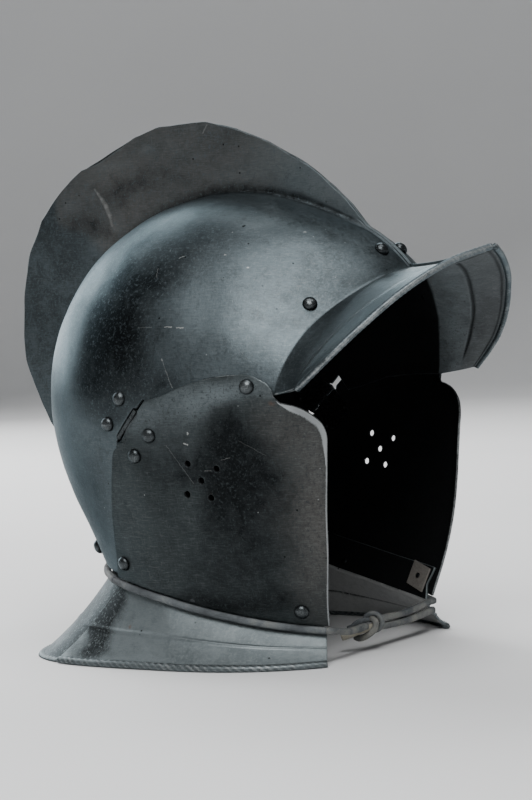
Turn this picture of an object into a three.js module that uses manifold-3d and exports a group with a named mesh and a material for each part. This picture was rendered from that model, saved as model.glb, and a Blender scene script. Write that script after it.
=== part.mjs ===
// Burgonet: an open helmet of blackened steel with a tall comb, a peak, hinged cheekpieces and flared neck
// plates.
// Millimetres. X runs to the wearer's left, Y to the back, Z up. The origin lies under the middle of the
// helmet, on the plane it rests on. Each side piece is worked out on the left, where X is positive, and
// mirrored.
import * as THREE from 'three';
import { mergeVertices } from 'three/addons/utils/BufferGeometryUtils.js';
import Module from 'manifold-3d';

const wasm = await Module();
wasm.setup();

// Driving dimensions of the head form
const skullHalfWidth = 106.5;
const skullFrontDepth = 168;
const skullRearDepth = 117;
const widestHeight = 144;
const crownHeight = 258.7;

// Plates and the room between them
const plateThickness = 1.6;
const plateGap = 0.45;
const seatGap = 0.3;
const combGap = 0.3;

// Comb and peak
const combHeight = 60.5;
const ridgeHeight = 1.2;
const combFillet = 2.4;
const peakReach = 161.1;
const peakTipHeight = 227.5;
const peakHollow = 2.6;
const peakBeadRadius = 2;
const creaseBow = 6;

// Cheekpieces
const faceReach = 101.4;
const cheekTurn = 1.2;
const cheekTurnShare = 0.3;
const hearingHoleRadius = 1.9;

// Waist, neck plates and the edge they rest on
const waistFrontHeight = 17;
const waistRearHeight = 41;
const baseHalfWidth = 105;
const baseFrontDepth = 115.8;
const baseRearDepth = 110;
const baseFrontPower = 2.4;
const baseRearPower = 3.3;
const baseBeadRadius = 2.2;
const restReach = 95;
const restTiltDegrees = 2.45;
const originSetback = 9.7;
const flangeHeight = 19;
const embossHeight = 0.8;

// Lace
const laceRadius = 2.1;

// Lace knot in front of the face opening, and the cut end that stands out of it
const knotX = -13.5;
const knotReach = 90.5;
const knotZ = 14.4;
const knotLength = 11;
const knotTurnRadius = 4.3;
const knotCoreRadius = 3.4;
const laceEndLength = 14;
const laceSag = 1.6;
const laceBendShare = 0.07;

// Hinges in the slanting slots behind the ears
const slotTopY = -1.8;
const slotTopZ = 146;
const slotLowY = 19.9;
const slotLowZ = 120.6;
const slotSkullSide = 2.5;
const slotCheekSide = 2.1;
const hingeLength = 21;
const hingeShift = 2.6;
const hingeLeafThickness = 1.2;
const hingeLeafGap = 0.7;
const hingeSkullReach = 15.5;
const hingeCheekReach = 19.5;
const knuckleRadius = 2.1;
const knuckleLength = 8.4;
const hingeAxisDepth = 1.5;
const pinRadius = 0.9;

// Rivets
const rivetSeat = 0.6;
const rivetHeadRadius = 4.2;
const rivetHeadHeight = 2.6;
const rivetShankRadius = 1.5;
const rivetPeenRadius = 2.5;
const rivetPeenHeight = 0.8;
const flushRivetRadius = 1.7;
const washerSide = 14;
const washerThickness = 1.2;

// One overrun serves every cut
const cutOverrun = 4;
const mergeTolerance = 1e-4;

// Levels are measured outward from the skull's outer face
const skullTop = 0;
const cheekBottom = plateGap;
const cheekTop = plateGap + plateThickness;
const napeTop = -plateThickness - plateGap;
const laceLift = laceRadius + seatGap * 2;
const laceTop = laceRadius * 2;

// Smooth curve through a table of values, level beyond its ends
function smoothTable(inputs, outputs) {
  const last = inputs.length - 1;
  const slopes = inputs.map((_, i) => {
    const before = Math.max(i - 1, 0);
    const after = Math.min(i + 1, last);
    return (outputs[after] - outputs[before]) / (inputs[after] - inputs[before]);
  });
  return input => {
    if (input <= inputs[0]) return outputs[0];
    if (input >= inputs[last]) return outputs[last];
    const i = inputs.findIndex(edge => input < edge) - 1;
    const span = inputs[i + 1] - inputs[i];
    const t = (input - inputs[i]) / span;
    const rise = t * t * (3 - 2 * t);
    const start = t * (1 - t) * (1 - t) * slopes[i] * span;
    const end = t * t * (t - 1) * slopes[i + 1] * span;
    return outputs[i] * (1 - rise) + outputs[i + 1] * rise + start + end;
  };
}

// Head form: level sections, each half an ellipse to the front and half an ellipse to the rear
const lowHeightShares = [0, 0.111, 0.278, 0.444, 0.597, 0.75, 0.903, 1];
const lowWidth = smoothTable(lowHeightShares, [0.714, 0.746, 0.808, 0.864, 0.911, 0.948, 0.988, 1]);
const lowFront = smoothTable(lowHeightShares, [0.702, 0.762, 0.863, 0.91, 0.916, 0.902, 0.886, 0.92]);
const lowRear = smoothTable(lowHeightShares, [0.62, 0.63, 0.675, 0.777, 0.889, 0.968, 1.001, 1]);
const highHeightShares = [0, 0.06, 0.157, 0.257, 0.348, 0.436, 0.514, 0.636, 0.785, 0.854, 0.928, 1];
const highFrontShares = [0.92, 1, 0.952, 0.899, 0.857, 0.827, 0.824, 0.845, 0.854, 0.827, 0.762, 0.696];
const highFront = smoothTable(highHeightShares, highFrontShares);

function riseShare(z) {
  return (z - widestHeight) / (crownHeight - widestHeight);
}

function domeShare(z) {
  return Math.sqrt(Math.max(0, 1 - riseShare(z) ** 2));
}

function halfWidthAt(z) {
  return skullHalfWidth * (z < widestHeight ? lowWidth(z / widestHeight) : domeShare(z));
}

function depthAt(z, atFront) {
  if (z < widestHeight) {
    const share = z / widestHeight;
    return atFront ? skullFrontDepth * lowFront(share) : skullRearDepth * lowRear(share);
  }
  return domeShare(z) * (atFront ? skullFrontDepth * highFront(riseShare(z)) : skullRearDepth);
}

// The brow comes to a soft keel under the comb
const keelPower = smoothTable([0.35, 0.62, 0.85, 1], [0.5, 0.64, 0.64, 0.5]);
function sideX(y, z) {
  const share = y / depthAt(z, y < 0);
  const power = y < 0 ? keelPower(riseShare(z)) : 0.5;
  return halfWidthAt(z) * Math.max(0, 1 - share * share) ** power;
}

function onHead(y, z) {
  return new THREE.Vector3(sideX(y, z), y, z);
}

const slopeStepShare = 0.005;
function headNormal(y, z) {
  const step = slopeStepShare * skullHalfWidth;
  const alongY = (sideX(y + step, z) - sideX(y - step, z)) / (2 * step);
  const alongZ = (sideX(y, z + step) - sideX(y, z - step)) / (2 * step);
  return new THREE.Vector3(1, -alongY, -alongZ).normalize();
}

// Halving search for the place where a test turns from true to false
function lastTrue(low, high, test) {
  for (let step = 0; step < 40; step += 1) {
    const middle = (low + high) / 2;
    if (test(middle)) low = middle;
    else high = middle;
  }
  return low;
}

// Point of the head form's middle outline, seen from the middle of its widest section at an angle in degrees
function middleOutline(degrees) {
  const angle = THREE.MathUtils.degToRad(degrees);
  const inside = reach => {
    const z = widestHeight + reach * Math.sin(angle);
    if (z >= crownHeight) return false;
    const y = reach * Math.cos(angle);
    return Math.abs(y) < depthAt(z, y < 0);
  };
  const reach = lastTrue(0, skullFrontDepth, inside);
  return new THREE.Vector2(reach * Math.cos(angle), widestHeight + reach * Math.sin(angle));
}

// Grids of points: a list of columns, each a list of rows
function gridNormals(grid, hint) {
  const lastColumn = grid.length - 1;
  const lastRow = grid[0].length - 1;
  const normals = grid.map((column, i) => column.map((point, k) => {
    const along = grid[Math.min(i + 1, lastColumn)][k].clone().sub(grid[Math.max(i - 1, 0)][k]);
    const across = grid[i][Math.min(k + 1, lastRow)].clone().sub(grid[i][Math.max(k - 1, 0)]);
    return along.cross(across).normalize();
  }));
  const middle = normals[Math.floor(lastColumn / 2)][Math.floor(lastRow / 2)];
  const sign = middle.dot(hint) < 0 ? -1 : 1;
  return normals.map(column => column.map(normal => normal.multiplyScalar(sign)));
}

// Closed plate between two levels over a grid
function plate(grid, top, bottom, hint, levelAt = () => 0) {
  const normals = gridNormals(grid, hint);
  const columns = grid.length;
  const rows = grid[0].length;
  const points = [];
  for (const level of [top, bottom]) {
    for (let i = 0; i < columns; i += 1) {
      for (let k = 0; k < rows; k += 1) {
        points.push(grid[i][k].clone().addScaledVector(normals[i][k], level + levelAt(i, k)));
      }
    }
  }
  const at = (layer, i, k) => (layer * columns + i) * rows + k;
  const faces = [];
  const quad = (a, b, c, d) => faces.push(a, b, c, a, c, d);
  for (let i = 0; i + 1 < columns; i += 1) {
    for (let k = 0; k + 1 < rows; k += 1) {
      const corners = [at(0, i, k), at(0, i + 1, k), at(0, i + 1, k + 1), at(0, i, k + 1)];
      const first = points[corners[0]].distanceTo(points[corners[2]]);
      const second = points[corners[1]].distanceTo(points[corners[3]]);
      const turned = first <= second ? corners : [...corners.slice(1), corners[0]];
      quad(...turned);
      const under = turned.map(corner => corner + columns * rows);
      faces.push(under[0], under[2], under[1], under[0], under[3], under[2]);
    }
  }
  for (let i = 0; i + 1 < columns; i += 1) {
    quad(at(1, i, 0), at(1, i + 1, 0), at(0, i + 1, 0), at(0, i, 0));
    quad(at(0, i, rows - 1), at(0, i + 1, rows - 1), at(1, i + 1, rows - 1), at(1, i, rows - 1));
  }
  for (let k = 0; k + 1 < rows; k += 1) {
    quad(at(0, 0, k), at(0, 0, k + 1), at(1, 0, k + 1), at(1, 0, k));
    quad(at(1, columns - 1, k), at(1, columns - 1, k + 1), at(0, columns - 1, k + 1), at(0, columns - 1, k));
  }
  const geometry = new THREE.BufferGeometry();
  geometry.setAttribute('position', new THREE.Float32BufferAttribute(points.flatMap(p => p.toArray()), 3));
  geometry.setIndex(faces);
  return facingOut(geometry);
}

function signedVolume(geometry) {
  const at = geometry.attributes.position;
  const index = geometry.index;
  const [a, b, c] = [new THREE.Vector3(), new THREE.Vector3(), new THREE.Vector3()];
  let volume = 0;
  for (let i = 0; i < index.count; i += 3) {
    a.fromBufferAttribute(at, index.getX(i));
    b.fromBufferAttribute(at, index.getX(i + 1));
    c.fromBufferAttribute(at, index.getX(i + 2));
    volume += a.dot(b.cross(c));
  }
  return volume;
}

function turnFaces(geometry) {
  const faces = Array.from(geometry.index.array);
  for (let i = 0; i < faces.length; i += 3) [faces[i + 1], faces[i + 2]] = [faces[i + 2], faces[i + 1]];
  geometry.setIndex(faces);
  return geometry;
}

function facingOut(geometry) {
  return signedVolume(geometry) < 0 ? turnFaces(geometry) : geometry;
}

// Joins and cuts
function toSolid(geometry) {
  const bare = geometry.clone();
  bare.deleteAttribute('normal');
  bare.deleteAttribute('uv');
  const merged = mergeVertices(bare, mergeTolerance);
  return new wasm.Manifold(new wasm.Mesh({
    numProp: 3,
    vertProperties: new Float32Array(merged.attributes.position.array),
    triVerts: new Uint32Array(merged.index.array),
  }));
}

function toGeometry(solid) {
  const mesh = solid.getMesh();
  const geometry = new THREE.BufferGeometry();
  geometry.setAttribute('position', new THREE.BufferAttribute(new Float32Array(mesh.vertProperties), 3));
  geometry.setIndex(new THREE.BufferAttribute(new Uint32Array(mesh.triVerts), 1));
  geometry.computeVertexNormals();
  return geometry;
}

function mirrored(geometry) {
  return turnFaces(geometry.clone().applyMatrix4(new THREE.Matrix4().makeScale(-1, 1, 1)));
}

// Round bar along a direction, centred on a point
function bar(centre, direction, radius, length, sides) {
  const turn = new THREE.Quaternion().setFromUnitVectors(new THREE.Vector3(0, 1, 0), direction);
  const geometry = new THREE.CylinderGeometry(radius, radius, length, sides);
  return toSolid(geometry.applyQuaternion(turn).translate(centre.x, centre.y, centre.z));
}

function roundSection(radius, sides) {
  const corners = Array.from({ length: sides }, (_, i) => {
    const angle = (i + 0.5) / sides * 2 * Math.PI;
    return new THREE.Vector2(radius * Math.cos(angle), radius * Math.sin(angle));
  });
  return new THREE.Shape(corners);
}

function tube(points, radius, steps, sides = 6) {
  const extrudePath = new THREE.CatmullRomCurve3(points, false, 'centripetal');
  const settings = { steps, extrudePath, bevelEnabled: false };
  return toSolid(new THREE.ExtrudeGeometry(roundSection(radius, sides), settings));
}

function curvePoints(points, shares) {
  const curve = new THREE.CatmullRomCurve3(points, false, 'centripetal');
  return shares.map(share => curve.getPointAt(share));
}

function evenShares(count) {
  return Array.from({ length: count + 1 }, (_, i) => i / count);
}

// Places in the side view, given as shares of the face's reach and of the widest section's height
function sidePlace([reachShare, heightShare]) {
  return new THREE.Vector3(0, reachShare * faceReach, heightShare * widestHeight);
}

// Height of the waist, where the neck plates start to flare
const waistShares = smoothTable([-0.89, -0.57, -0.17, 0.03, 0.36, 0.8], [0, 0.15, 0.44, 0.63, 0.86, 1]);
function waistHeight(y) {
  return waistFrontHeight + (waistRearHeight - waistFrontHeight) * waistShares(y / faceReach);
}
const edgeAboveWaist = laceTop + seatGap;

// Hinge frame: along the slot, across it to the rear, and outward
const slotTop = new THREE.Vector3(0, slotTopY, slotTopZ);
const slotLow = new THREE.Vector3(0, slotLowY, slotLowZ);
const slotMiddle = slotTop.clone().lerp(slotLow, 0.5);
const slotHalf = slotTop.distanceTo(slotLow) / 2;
const slotAlong = slotLow.clone().sub(slotTop).normalize();
const slotAcross = new THREE.Vector3(0, -slotAlong.z, slotAlong.y);

function slotPlace(along, across) {
  return slotMiddle.clone().addScaledVector(slotAlong, along).addScaledVector(slotAcross, across);
}

const hingeNormal = headNormal(slotMiddle.y, slotMiddle.z);
const hingeAxis = onHead(slotLow.y, slotLow.z).sub(onHead(slotTop.y, slotTop.z)).normalize();
const hingeCentre = onHead(slotMiddle.y, slotMiddle.z).addScaledVector(hingeNormal, -hingeAxisDepth);

function alongHinge(distance) {
  return hingeCentre.clone().addScaledVector(hingeAxis, distance);
}

// Skull half. A column runs from the comb's edge down the comb, round its root and over the bowl to the side
// edge.
const combAngles = [-60, -30, -24, -16, -8, 2, 14, 27, 34, 48, 62, 77, 93, 103.5, 113.5, 122, 131, 136, 150];
const combShares = [0, 0, 0.1, 0.27, 0.46, 0.67, 0.81, 0.975, 1, 0.95, 0.86, 0.76, 0.545, 0.41, 0.295, 0.18,
  0.03, 0, 0];
const combShareAt = smoothTable(combAngles, combShares);

function combRise(degrees) {
  return Math.max(ridgeHeight, combHeight * combShareAt(degrees));
}

// Stations: angle of the middle outline, side edge place, and columns up to the next station
const skullRearX = slotPlace(slotHalf, slotSkullSide);
const skullFrontX = slotPlace(-slotHalf, slotSkullSide);
const skullStations = [
  { degrees: 147, edge: sidePlace([-0.77, 1.04]), columns: 4 },
  { degrees: 126, edge: sidePlace([-0.6, 1.035]), columns: 2 },
  { degrees: 111, edge: sidePlace([-0.365, 1.015]), columns: 2 },
  { degrees: 100, edge: sidePlace([-0.17, 0.97]), columns: 1 },
  { degrees: 95, edge: sidePlace([-0.085, 0.955]), columns: 1 },
  { degrees: 91, edge: slotPlace(-slotHalf, 0), columns: 1 },
  { degrees: 86, edge: skullFrontX, columns: 9 },
  { degrees: 30, edge: skullRearX, columns: 2 },
  { degrees: 12, edge: sidePlace([0.197, 0.8]), columns: 2 },
  { degrees: -4, edge: sidePlace([0.173, 0.722]), columns: 1 },
  { degrees: -17, edge: sidePlace([0.192, 0.625]), columns: 1 },
  { degrees: -29, edge: sidePlace([0.217, 0.528]), columns: 2 },
  { degrees: -40, edge: sidePlace([0.242, 0.431]), columns: 1 },
  { degrees: -43, edge: sidePlace([0.328, 0.39]), columns: 1 },
  { degrees: -46.5, edge: sidePlace([0.34, 0.335]), columns: 1 },
  { degrees: -49.4, edge: sidePlace([0.365, 0.297]), columns: 0 },
];
const bowlRows = 8;
const peakColumns = 4;
const bowFadeStations = 2;

function skullColumns() {
  const columns = [];
  skullStations.forEach((station, s) => {
    const next = skullStations[s + 1];
    const steps = Math.max(station.columns, 1);
    for (let step = 0; step < (next ? steps : 1); step += 1) {
      const share = step / steps;
      const degrees = next ? THREE.MathUtils.lerp(station.degrees, next.degrees, share) : station.degrees;
      const edge = next ? station.edge.clone().lerp(next.edge, share) : station.edge;
      const bow = creaseBow * Math.max(0, 1 - (s + share) / bowFadeStations);
      columns.push({ degrees, edge, bow });
    }
  });
  return columns;
}

// One column of the bowl, with the comb above it
const filletRiseShare = 0.6;
function bowlColumn({ degrees, edge, bow }) {
  const root = middleOutline(degrees);
  const top = new THREE.Vector3(0, root.x, root.y);
  const run = top.clone().sub(edge);
  const aside = new THREE.Vector3(0, run.z, -run.y).normalize();
  const place = share => {
    const spot = edge.clone().addScaledVector(run, share);
    spot.addScaledVector(aside, bow * 4 * share * (1 - share));
    return onHead(spot.y, spot.z);
  };
  const rise = combRise(degrees);
  const fillet = Math.min(combFillet, rise * filletRiseShare);
  const faceX = combGap / 2 + plateThickness;
  const outward = new THREE.Vector3(0, root.x, root.y - widestHeight).normalize();
  const first = lastTrue(0, 1, share => place(share).x > faceX + fillet);
  const rows = combRows(top, outward, rise, fillet);
  for (let k = 0; k <= bowlRows; k += 1) rows.push(place(first * Math.cos(k / bowlRows * Math.PI / 2)));
  return rows;
}

const filletMiddleShare = 1 - Math.SQRT1_2;
const combRowCount = 3;
function combRows(top, outward, rise, fillet) {
  const faceX = combGap / 2 + plateThickness;
  const at = (x, up) => top.clone().addScaledVector(outward, up).setX(x);
  return [
    at(faceX, rise),
    at(faceX, fillet),
    at(faceX + fillet * filletMiddleShare, fillet * filletMiddleShare),
  ];
}

// Peak: from the crease out to the rim, slightly hollow between them
const rimXShares = [0.3, 0.563, 0.76, 0.901, 0.968];
const rimYShares = [0.942, 0.875, 0.802, 0.717, 0.61];
const rimZShares = [0.968, 0.91, 0.839, 0.7625, 0.683];
const rimCurve = new THREE.CatmullRomCurve3([
  new THREE.Vector3(combGap / 2 + plateThickness + ridgeHeight, -peakReach, peakTipHeight),
  ...rimXShares.map((share, i) => new THREE.Vector3(
    share * skullHalfWidth, -rimYShares[i] * peakReach, rimZShares[i] * peakTipHeight)),
], false, 'centripetal');

function peakColumnsFrom(crease) {
  const fixedRows = crease.length - bowlRows - 1;
  const surface = crease.slice(fixedRows);
  const lengths = surface.map((point, k) => (k ? point.distanceTo(surface[k - 1]) : 0));
  const total = lengths.reduce((sum, length) => sum + length, 0);
  let run = 0;
  const rim = lengths.map(length => {
    run += length;
    return rimCurve.getPointAt(Math.min(1, run / total));
  });
  const sink = surface.map((point, k) => {
    const along = surface[Math.min(k + 1, bowlRows)].clone().sub(surface[Math.max(k - 1, 0)]);
    return rim[k].clone().sub(point).cross(along).normalize().multiplyScalar(peakHollow);
  });
  if (sink[0].z > 0) sink.forEach(push => push.negate());
  const columns = [];
  for (let c = 0; c < peakColumns; c += 1) {
    const share = 1 - c / peakColumns;
    const rows = surface.map((point, k) => point.clone().lerp(rim[k], share)
      .addScaledVector(sink[k], 4 * share * (1 - share)));
    const top = rows[0].clone().setX(0);
    const outward = sink[0].clone().setX(0).negate().normalize();
    columns.push([...combRows(top, outward, ridgeHeight, ridgeHeight * filletRiseShare), ...rows]);
  }
  return columns;
}

const sideways = new THREE.Vector3(1, 0, 0);
const peakBeadSteps = 13;
const beadSides = 6;

function skullHalf() {
  const bowl = skullColumns().map(bowlColumn);
  const grid = [...peakColumnsFrom(bowl[0]), ...bowl];
  const shell = toSolid(plate(grid, skullTop, -plateThickness, sideways));
  const rimRow = grid[0].slice(combRowCount).map(point => point.clone().addScaledVector(
    new THREE.Vector3(0, 0, 1), -plateThickness / 2));
  const bead = tube(rimRow, peakBeadRadius, peakBeadSteps, beadSides);
  const middleBlock = new THREE.BoxGeometry(peakReach, peakReach * 4, crownHeight * 4);
  const middleCut = toSolid(middleBlock.translate((combGap - peakReach) / 2, 0, 0));
  return shell.add(bead).subtract(middleCut);
}

// Cheekpiece: a patch between its lower edge, rear edge and slot, top edge with the lobe, and front edge
const cheekCornerShares = [-0.955, 0.948];
const cheekFrontShares = [[-0.953, 0.415], [-0.972, 0.6], [-0.988, 0.82], [-0.99, 0.885], [-0.975, 0.928],
  cheekCornerShares];
const cheekTopShares = [[-0.15, 1.028], [-0.237, 1.055], [-0.365, 1.083], [-0.477, 1.101], [-0.57, 1.107],
  [-0.645, 1.105], [-0.7, 1.088], [-0.735, 1.074], [-0.761, 1.052], [-0.769, 1.03], [-0.79, 1.008],
  [-0.833, 1], [-0.878, 0.989], [-0.92, 0.971], cheekCornerShares];
const cheekRearShares = [[0.355, 0.3], [0.33, 0.365], [0.323, 0.42], [0.3, 0.541], [0.275, 0.63],
  [0.252, 0.719], [0.215, 0.81]];
const cheekRearSteps = 7;
const cheekSlotSteps = 3;
const cheekFrontRowShares = [0, 0.12, 0.24, 0.37, 0.5, 0.62, 0.73, 0.82, 0.9, 0.96, 1];
const cheekLowCornerShare = -0.89;

function waistEdge(fromShare, toShare, shares) {
  return shares.map(share => {
    const y = THREE.MathUtils.lerp(fromShare, toShare, share) * faceReach;
    return new THREE.Vector3(0, y, waistHeight(y) + edgeAboveWaist);
  });
}

// Shares of a line's length at which its points lie
function runShares(points) {
  const runs = [0];
  points.slice(1).forEach((point, i) => runs.push(runs[i] + point.distanceTo(points[i])));
  return runs.map(run => run / runs[runs.length - 1]);
}

function cheekGrid() {
  const slotUpper = slotPlace(-slotHalf, -slotCheekSide);
  const slotLower = slotPlace(slotHalf, -slotCheekSide);
  const outline = [slotUpper, ...cheekTopShares.map(sidePlace)];
  const acrossShares = turnColumn(runShares(outline));
  const top = turnColumn(outline);
  const bottom = waistEdge(cheekRearShares[0][0], cheekLowCornerShare, acrossShares);
  const rearPlaces = [bottom[0], ...cheekRearShares.slice(1).map(sidePlace), slotLower];
  const rearLow = curvePoints(rearPlaces, evenShares(cheekRearSteps));
  const rear = [...rearLow, ...curvePoints([slotLower, slotUpper], evenShares(cheekSlotSteps)).slice(1)];
  const frontPlaces = [bottom[bottom.length - 1], ...cheekFrontShares.map(sidePlace)];
  const front = curvePoints(frontPlaces, cheekFrontRowShares);
  const lastRow = rear.length - 1;
  return acrossShares.map((u, i) => rear.map((_, k) => {
    const v = k / lastRow;
    const spot = bottom[i].clone().multiplyScalar(1 - v).addScaledVector(top[i], v);
    spot.addScaledVector(rear[k], 1 - u).addScaledVector(front[k], u);
    spot.addScaledVector(bottom[0], -(1 - u) * (1 - v)).addScaledVector(rear[lastRow], -(1 - u) * v);
    spot.addScaledVector(front[0], -u * (1 - v)).addScaledVector(front[lastRow], -u * v);
    return onHead(spot.y, spot.z);
  }));
}

// Adds the column where the turned front edge starts
function turnColumn(values) {
  const before = values[values.length - 2];
  const last = values[values.length - 1];
  const start = typeof last === 'number'
    ? THREE.MathUtils.lerp(before, last, cheekTurnShare)
    : before.clone().lerp(last, cheekTurnShare);
  return [...values.slice(0, -1), start, last];
}

const hearingShares = [[-0.429, 0.758], [-0.382, 0.645], [-0.266, 0.774], [-0.244, 0.655], [-0.335, 0.71]];
const turnByRowShares = smoothTable([0, 0.35, 0.5, 0.7, 0.87, 1], [0.15, 0.3, 0.75, 1, 0.5, 0]);

function cheekShell() {
  const grid = cheekGrid();
  const lastColumn = grid.length - 1;
  const lastRow = grid[0].length - 1;
  const turn = (i, k) => (i === lastColumn ? cheekTurn * turnByRowShares(k / lastRow) : 0);
  let shell = toSolid(plate(grid, cheekTop, cheekBottom, sideways, turn));
  for (const share of hearingShares) {
    const spot = sidePlace(share);
    shell = shell.subtract(holeAt(spot, hearingHoleRadius));
  }
  return shell;
}

function holeAt(spot, radius, sides = 8) {
  const length = (cheekTop + plateThickness * 3 + cutOverrun) * 2;
  return bar(onHead(spot.y, spot.z), headNormal(spot.y, spot.z), radius, length, sides);
}

// The helmet stands on its lower edge with the head form laid back a little
const restTilt = THREE.MathUtils.degToRad(restTiltDegrees);
const standing = new THREE.Matrix4().makeRotationX(restTilt)
  .setPosition(0, originSetback, restReach * Math.sin(restTilt));

function restHeight(y) {
  return -(y + restReach) * Math.tan(restTilt);
}

function underRest() {
  const depth = baseBeadRadius * 4;
  const block = new THREE.BoxGeometry(baseHalfWidth * 4, baseFrontDepth * 4, depth);
  return toSolid(block.translate(0, 0, -depth / 2).applyMatrix4(standing.clone().invert()));
}

// Neck plates flare from the waist to the base edge, by a share from the front corner to the middle of the
// rear
const waistStartDegrees = -43;
const baseStartDegrees = -52.1;
const baseBeadRiseShare = 0.86;
const baseBeadLevel = baseBeadRadius * baseBeadRiseShare;
const flareBendShare = 0.43;
const flareDropShare = 0.6;

function waistPoint(share, lift) {
  const angle = THREE.MathUtils.degToRad(THREE.MathUtils.lerp(waistStartDegrees, 90, share));
  let y = 0;
  let z = waistFrontHeight;
  for (let round = 0; round < 12; round += 1) {
    z = waistHeight(y) + lift;
    y = depthAt(z, angle < 0) * Math.sin(angle);
  }
  return new THREE.Vector3(halfWidthAt(z) * Math.cos(angle), y, z);
}

function basePoint(share) {
  const angle = THREE.MathUtils.degToRad(THREE.MathUtils.lerp(baseStartDegrees, 90, share));
  const power = 2 / (angle < 0 ? baseFrontPower : baseRearPower);
  const x = baseHalfWidth * Math.max(0, Math.cos(angle)) ** power;
  const depth = angle < 0 ? -baseFrontDepth : baseRearDepth;
  const y = depth * Math.abs(Math.sin(angle)) ** power;
  return new THREE.Vector3(x, y, restHeight(y) + baseBeadLevel);
}

function flarePoint(share, down) {
  if (down < 0) return waistPoint(share, -down * flangeHeight);
  const waist = waistPoint(share, 0);
  const base = basePoint(share);
  const bend = waist.clone().lerp(base, flareBendShare);
  bend.setZ(THREE.MathUtils.lerp(waist.z, base.z, flareDropShare));
  const curve = new THREE.QuadraticBezierCurve3(waist, bend, base);
  return curve.getPoint(down);
}

const embossStartShare = 0.5;
const embossMiddleShare = 0.54;
const embossEndShare = 0.58;
const flareDownShares = [0, 0.25, embossStartShare, embossMiddleShare, embossEndShare, 0.8, 1];
const flangeShares = [-1, -0.45];
const flangeStubShares = [-0.08, -0.04];
const embossRow = flangeShares.length + flareDownShares.indexOf(embossMiddleShare);

function beadPoint(share, level) {
  const here = basePoint(share);
  const away = here.clone().sub(waistPoint(share, 0)).setZ(0).normalize();
  return here.addScaledVector(away, level);
}

const gorgetEndShare = 0.548;
const gorgetFlangeEndShare = 0.47;
const gorgetColumns = 8;
const flangeStepShare = 0.008;
const flangeInsetShare = 0.03;

function gorgetPlate() {
  const shares = [...evenShares(gorgetColumns).map(s => s * gorgetFlangeEndShare),
    gorgetFlangeEndShare + flangeStepShare, gorgetEndShare];
  const grid = shares.map(share => {
    const flange = share > gorgetFlangeEndShare ? flangeStubShares : flangeShares;
    const inset = share + flangeInsetShare * Math.max(0, 1 - share / gorgetFlangeEndShare);
    const upper = flange.map(down => flarePoint(inset, down));
    return [...upper, ...flareDownShares.map(down => flarePoint(share, down))];
  });
  const emboss = (i, k) => (k === embossRow ? embossHeight : 0);
  const shell = toSolid(plate(grid, skullTop, -plateThickness, sideways, emboss));
  const beadLevel = skullTop - plateThickness / 2;
  const beadPath = shares.map(share => beadPoint(share, beadLevel));
  const bead = tube(beadPath, baseBeadRadius, shares.length, beadSides);
  return shell.add(bead).subtract(underRest());
}

const mirrorX = new THREE.Vector3(-1, 1, 1);
function bothSides(left) {
  return [...left, ...left.slice(0, -1).reverse().map(point => point.clone().multiply(mirrorX))];
}

// The nape plate's ends are tucked under the neck plates, short of their base edge
const napeStartShare = 0.455;
const napeFlangeShare = 0.563;
const napeTuckShare = 0.84;
const napeColumns = 5;
const napeTuckColumns = 2;

function napePlate() {
  const half = [napeStartShare, napeFlangeShare - flangeStepShare,
    ...evenShares(napeColumns).map(s => THREE.MathUtils.lerp(napeFlangeShare, 1, s))];
  const left = half.map(share => {
    const tucked = share < napeFlangeShare;
    const downs = flareDownShares.map(down => (tucked ? down * napeTuckShare : down));
    const flange = tucked ? flangeStubShares : flangeShares;
    return [...flange, ...downs].map(down => flarePoint(share, down));
  });
  const right = left.slice(0, -1).reverse()
    .map(column => column.map(point => point.clone().multiply(mirrorX)));
  const free = i => i >= napeTuckColumns && i < left.length * 2 - 1 - napeTuckColumns;
  const emboss = (i, k) => (free(i) && k === embossRow ? embossHeight : 0);
  const backward = new THREE.Vector3(0, 1, 0);
  const shell = toSolid(plate([...left, ...right], napeTop, napeTop - plateThickness, backward, emboss));
  const beadLevel = napeTop - plateThickness / 2;
  const beadPoints = half.slice(napeTuckColumns).map(share => beadPoint(share, beadLevel));
  const bead = tube(bothSides(beadPoints), baseBeadRadius, napeColumns * 2, beadSides);
  return shell.add(bead).subtract(underRest());
}

// Hinge leaves follow the plates that they are riveted to
const leafTaper = 0.82;
function leafPatch(near, far, top) {
  const rows = evenShares(2).map(share => THREE.MathUtils.lerp(near, far, share));
  const grid = evenShares(3).map(along => rows.map((across, k) => {
    const half = hingeLength / 2 * THREE.MathUtils.lerp(1, leafTaper, k / 2);
    const spot = slotPlace(hingeShift + THREE.MathUtils.lerp(-half, half, along), across);
    return onHead(spot.y, spot.z);
  }));
  return toSolid(plate(grid, top, top - hingeLeafThickness, sideways));
}

function hingeBar(from, to, radius, sides = 6) {
  return bar(alongHinge(hingeShift + (from + to) / 2), hingeAxis, radius, to - from, sides);
}

const leafStart = seatGap;
const knuckleHalf = knuckleLength / 2;
const hingeHalf = hingeLength / 2;

function hingeSkullLeaf() {
  return leafPatch(leafStart, hingeSkullReach, -plateThickness - hingeLeafGap)
    .subtract(hingeBar(-knuckleHalf - seatGap, knuckleHalf + seatGap, knuckleRadius + seatGap))
    .add(hingeBar(-hingeHalf, -knuckleHalf - seatGap, knuckleRadius))
    .add(hingeBar(knuckleHalf + seatGap, hingeHalf, knuckleRadius))
    .subtract(hingeBar(-hingeLength, hingeLength, pinRadius + seatGap));
}

function hingeCheekLeaf() {
  const top = cheekBottom - seatGap;
  return leafPatch(-leafStart, -hingeCheekReach, top)
    .subtract(hingeBar(-hingeLength, -knuckleHalf, knuckleRadius + seatGap))
    .subtract(hingeBar(knuckleHalf, hingeLength, knuckleRadius + seatGap))
    .add(hingeBar(-knuckleHalf, knuckleHalf, knuckleRadius))
    .subtract(hingeBar(-hingeLength, hingeLength, pinRadius + seatGap));
}

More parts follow.
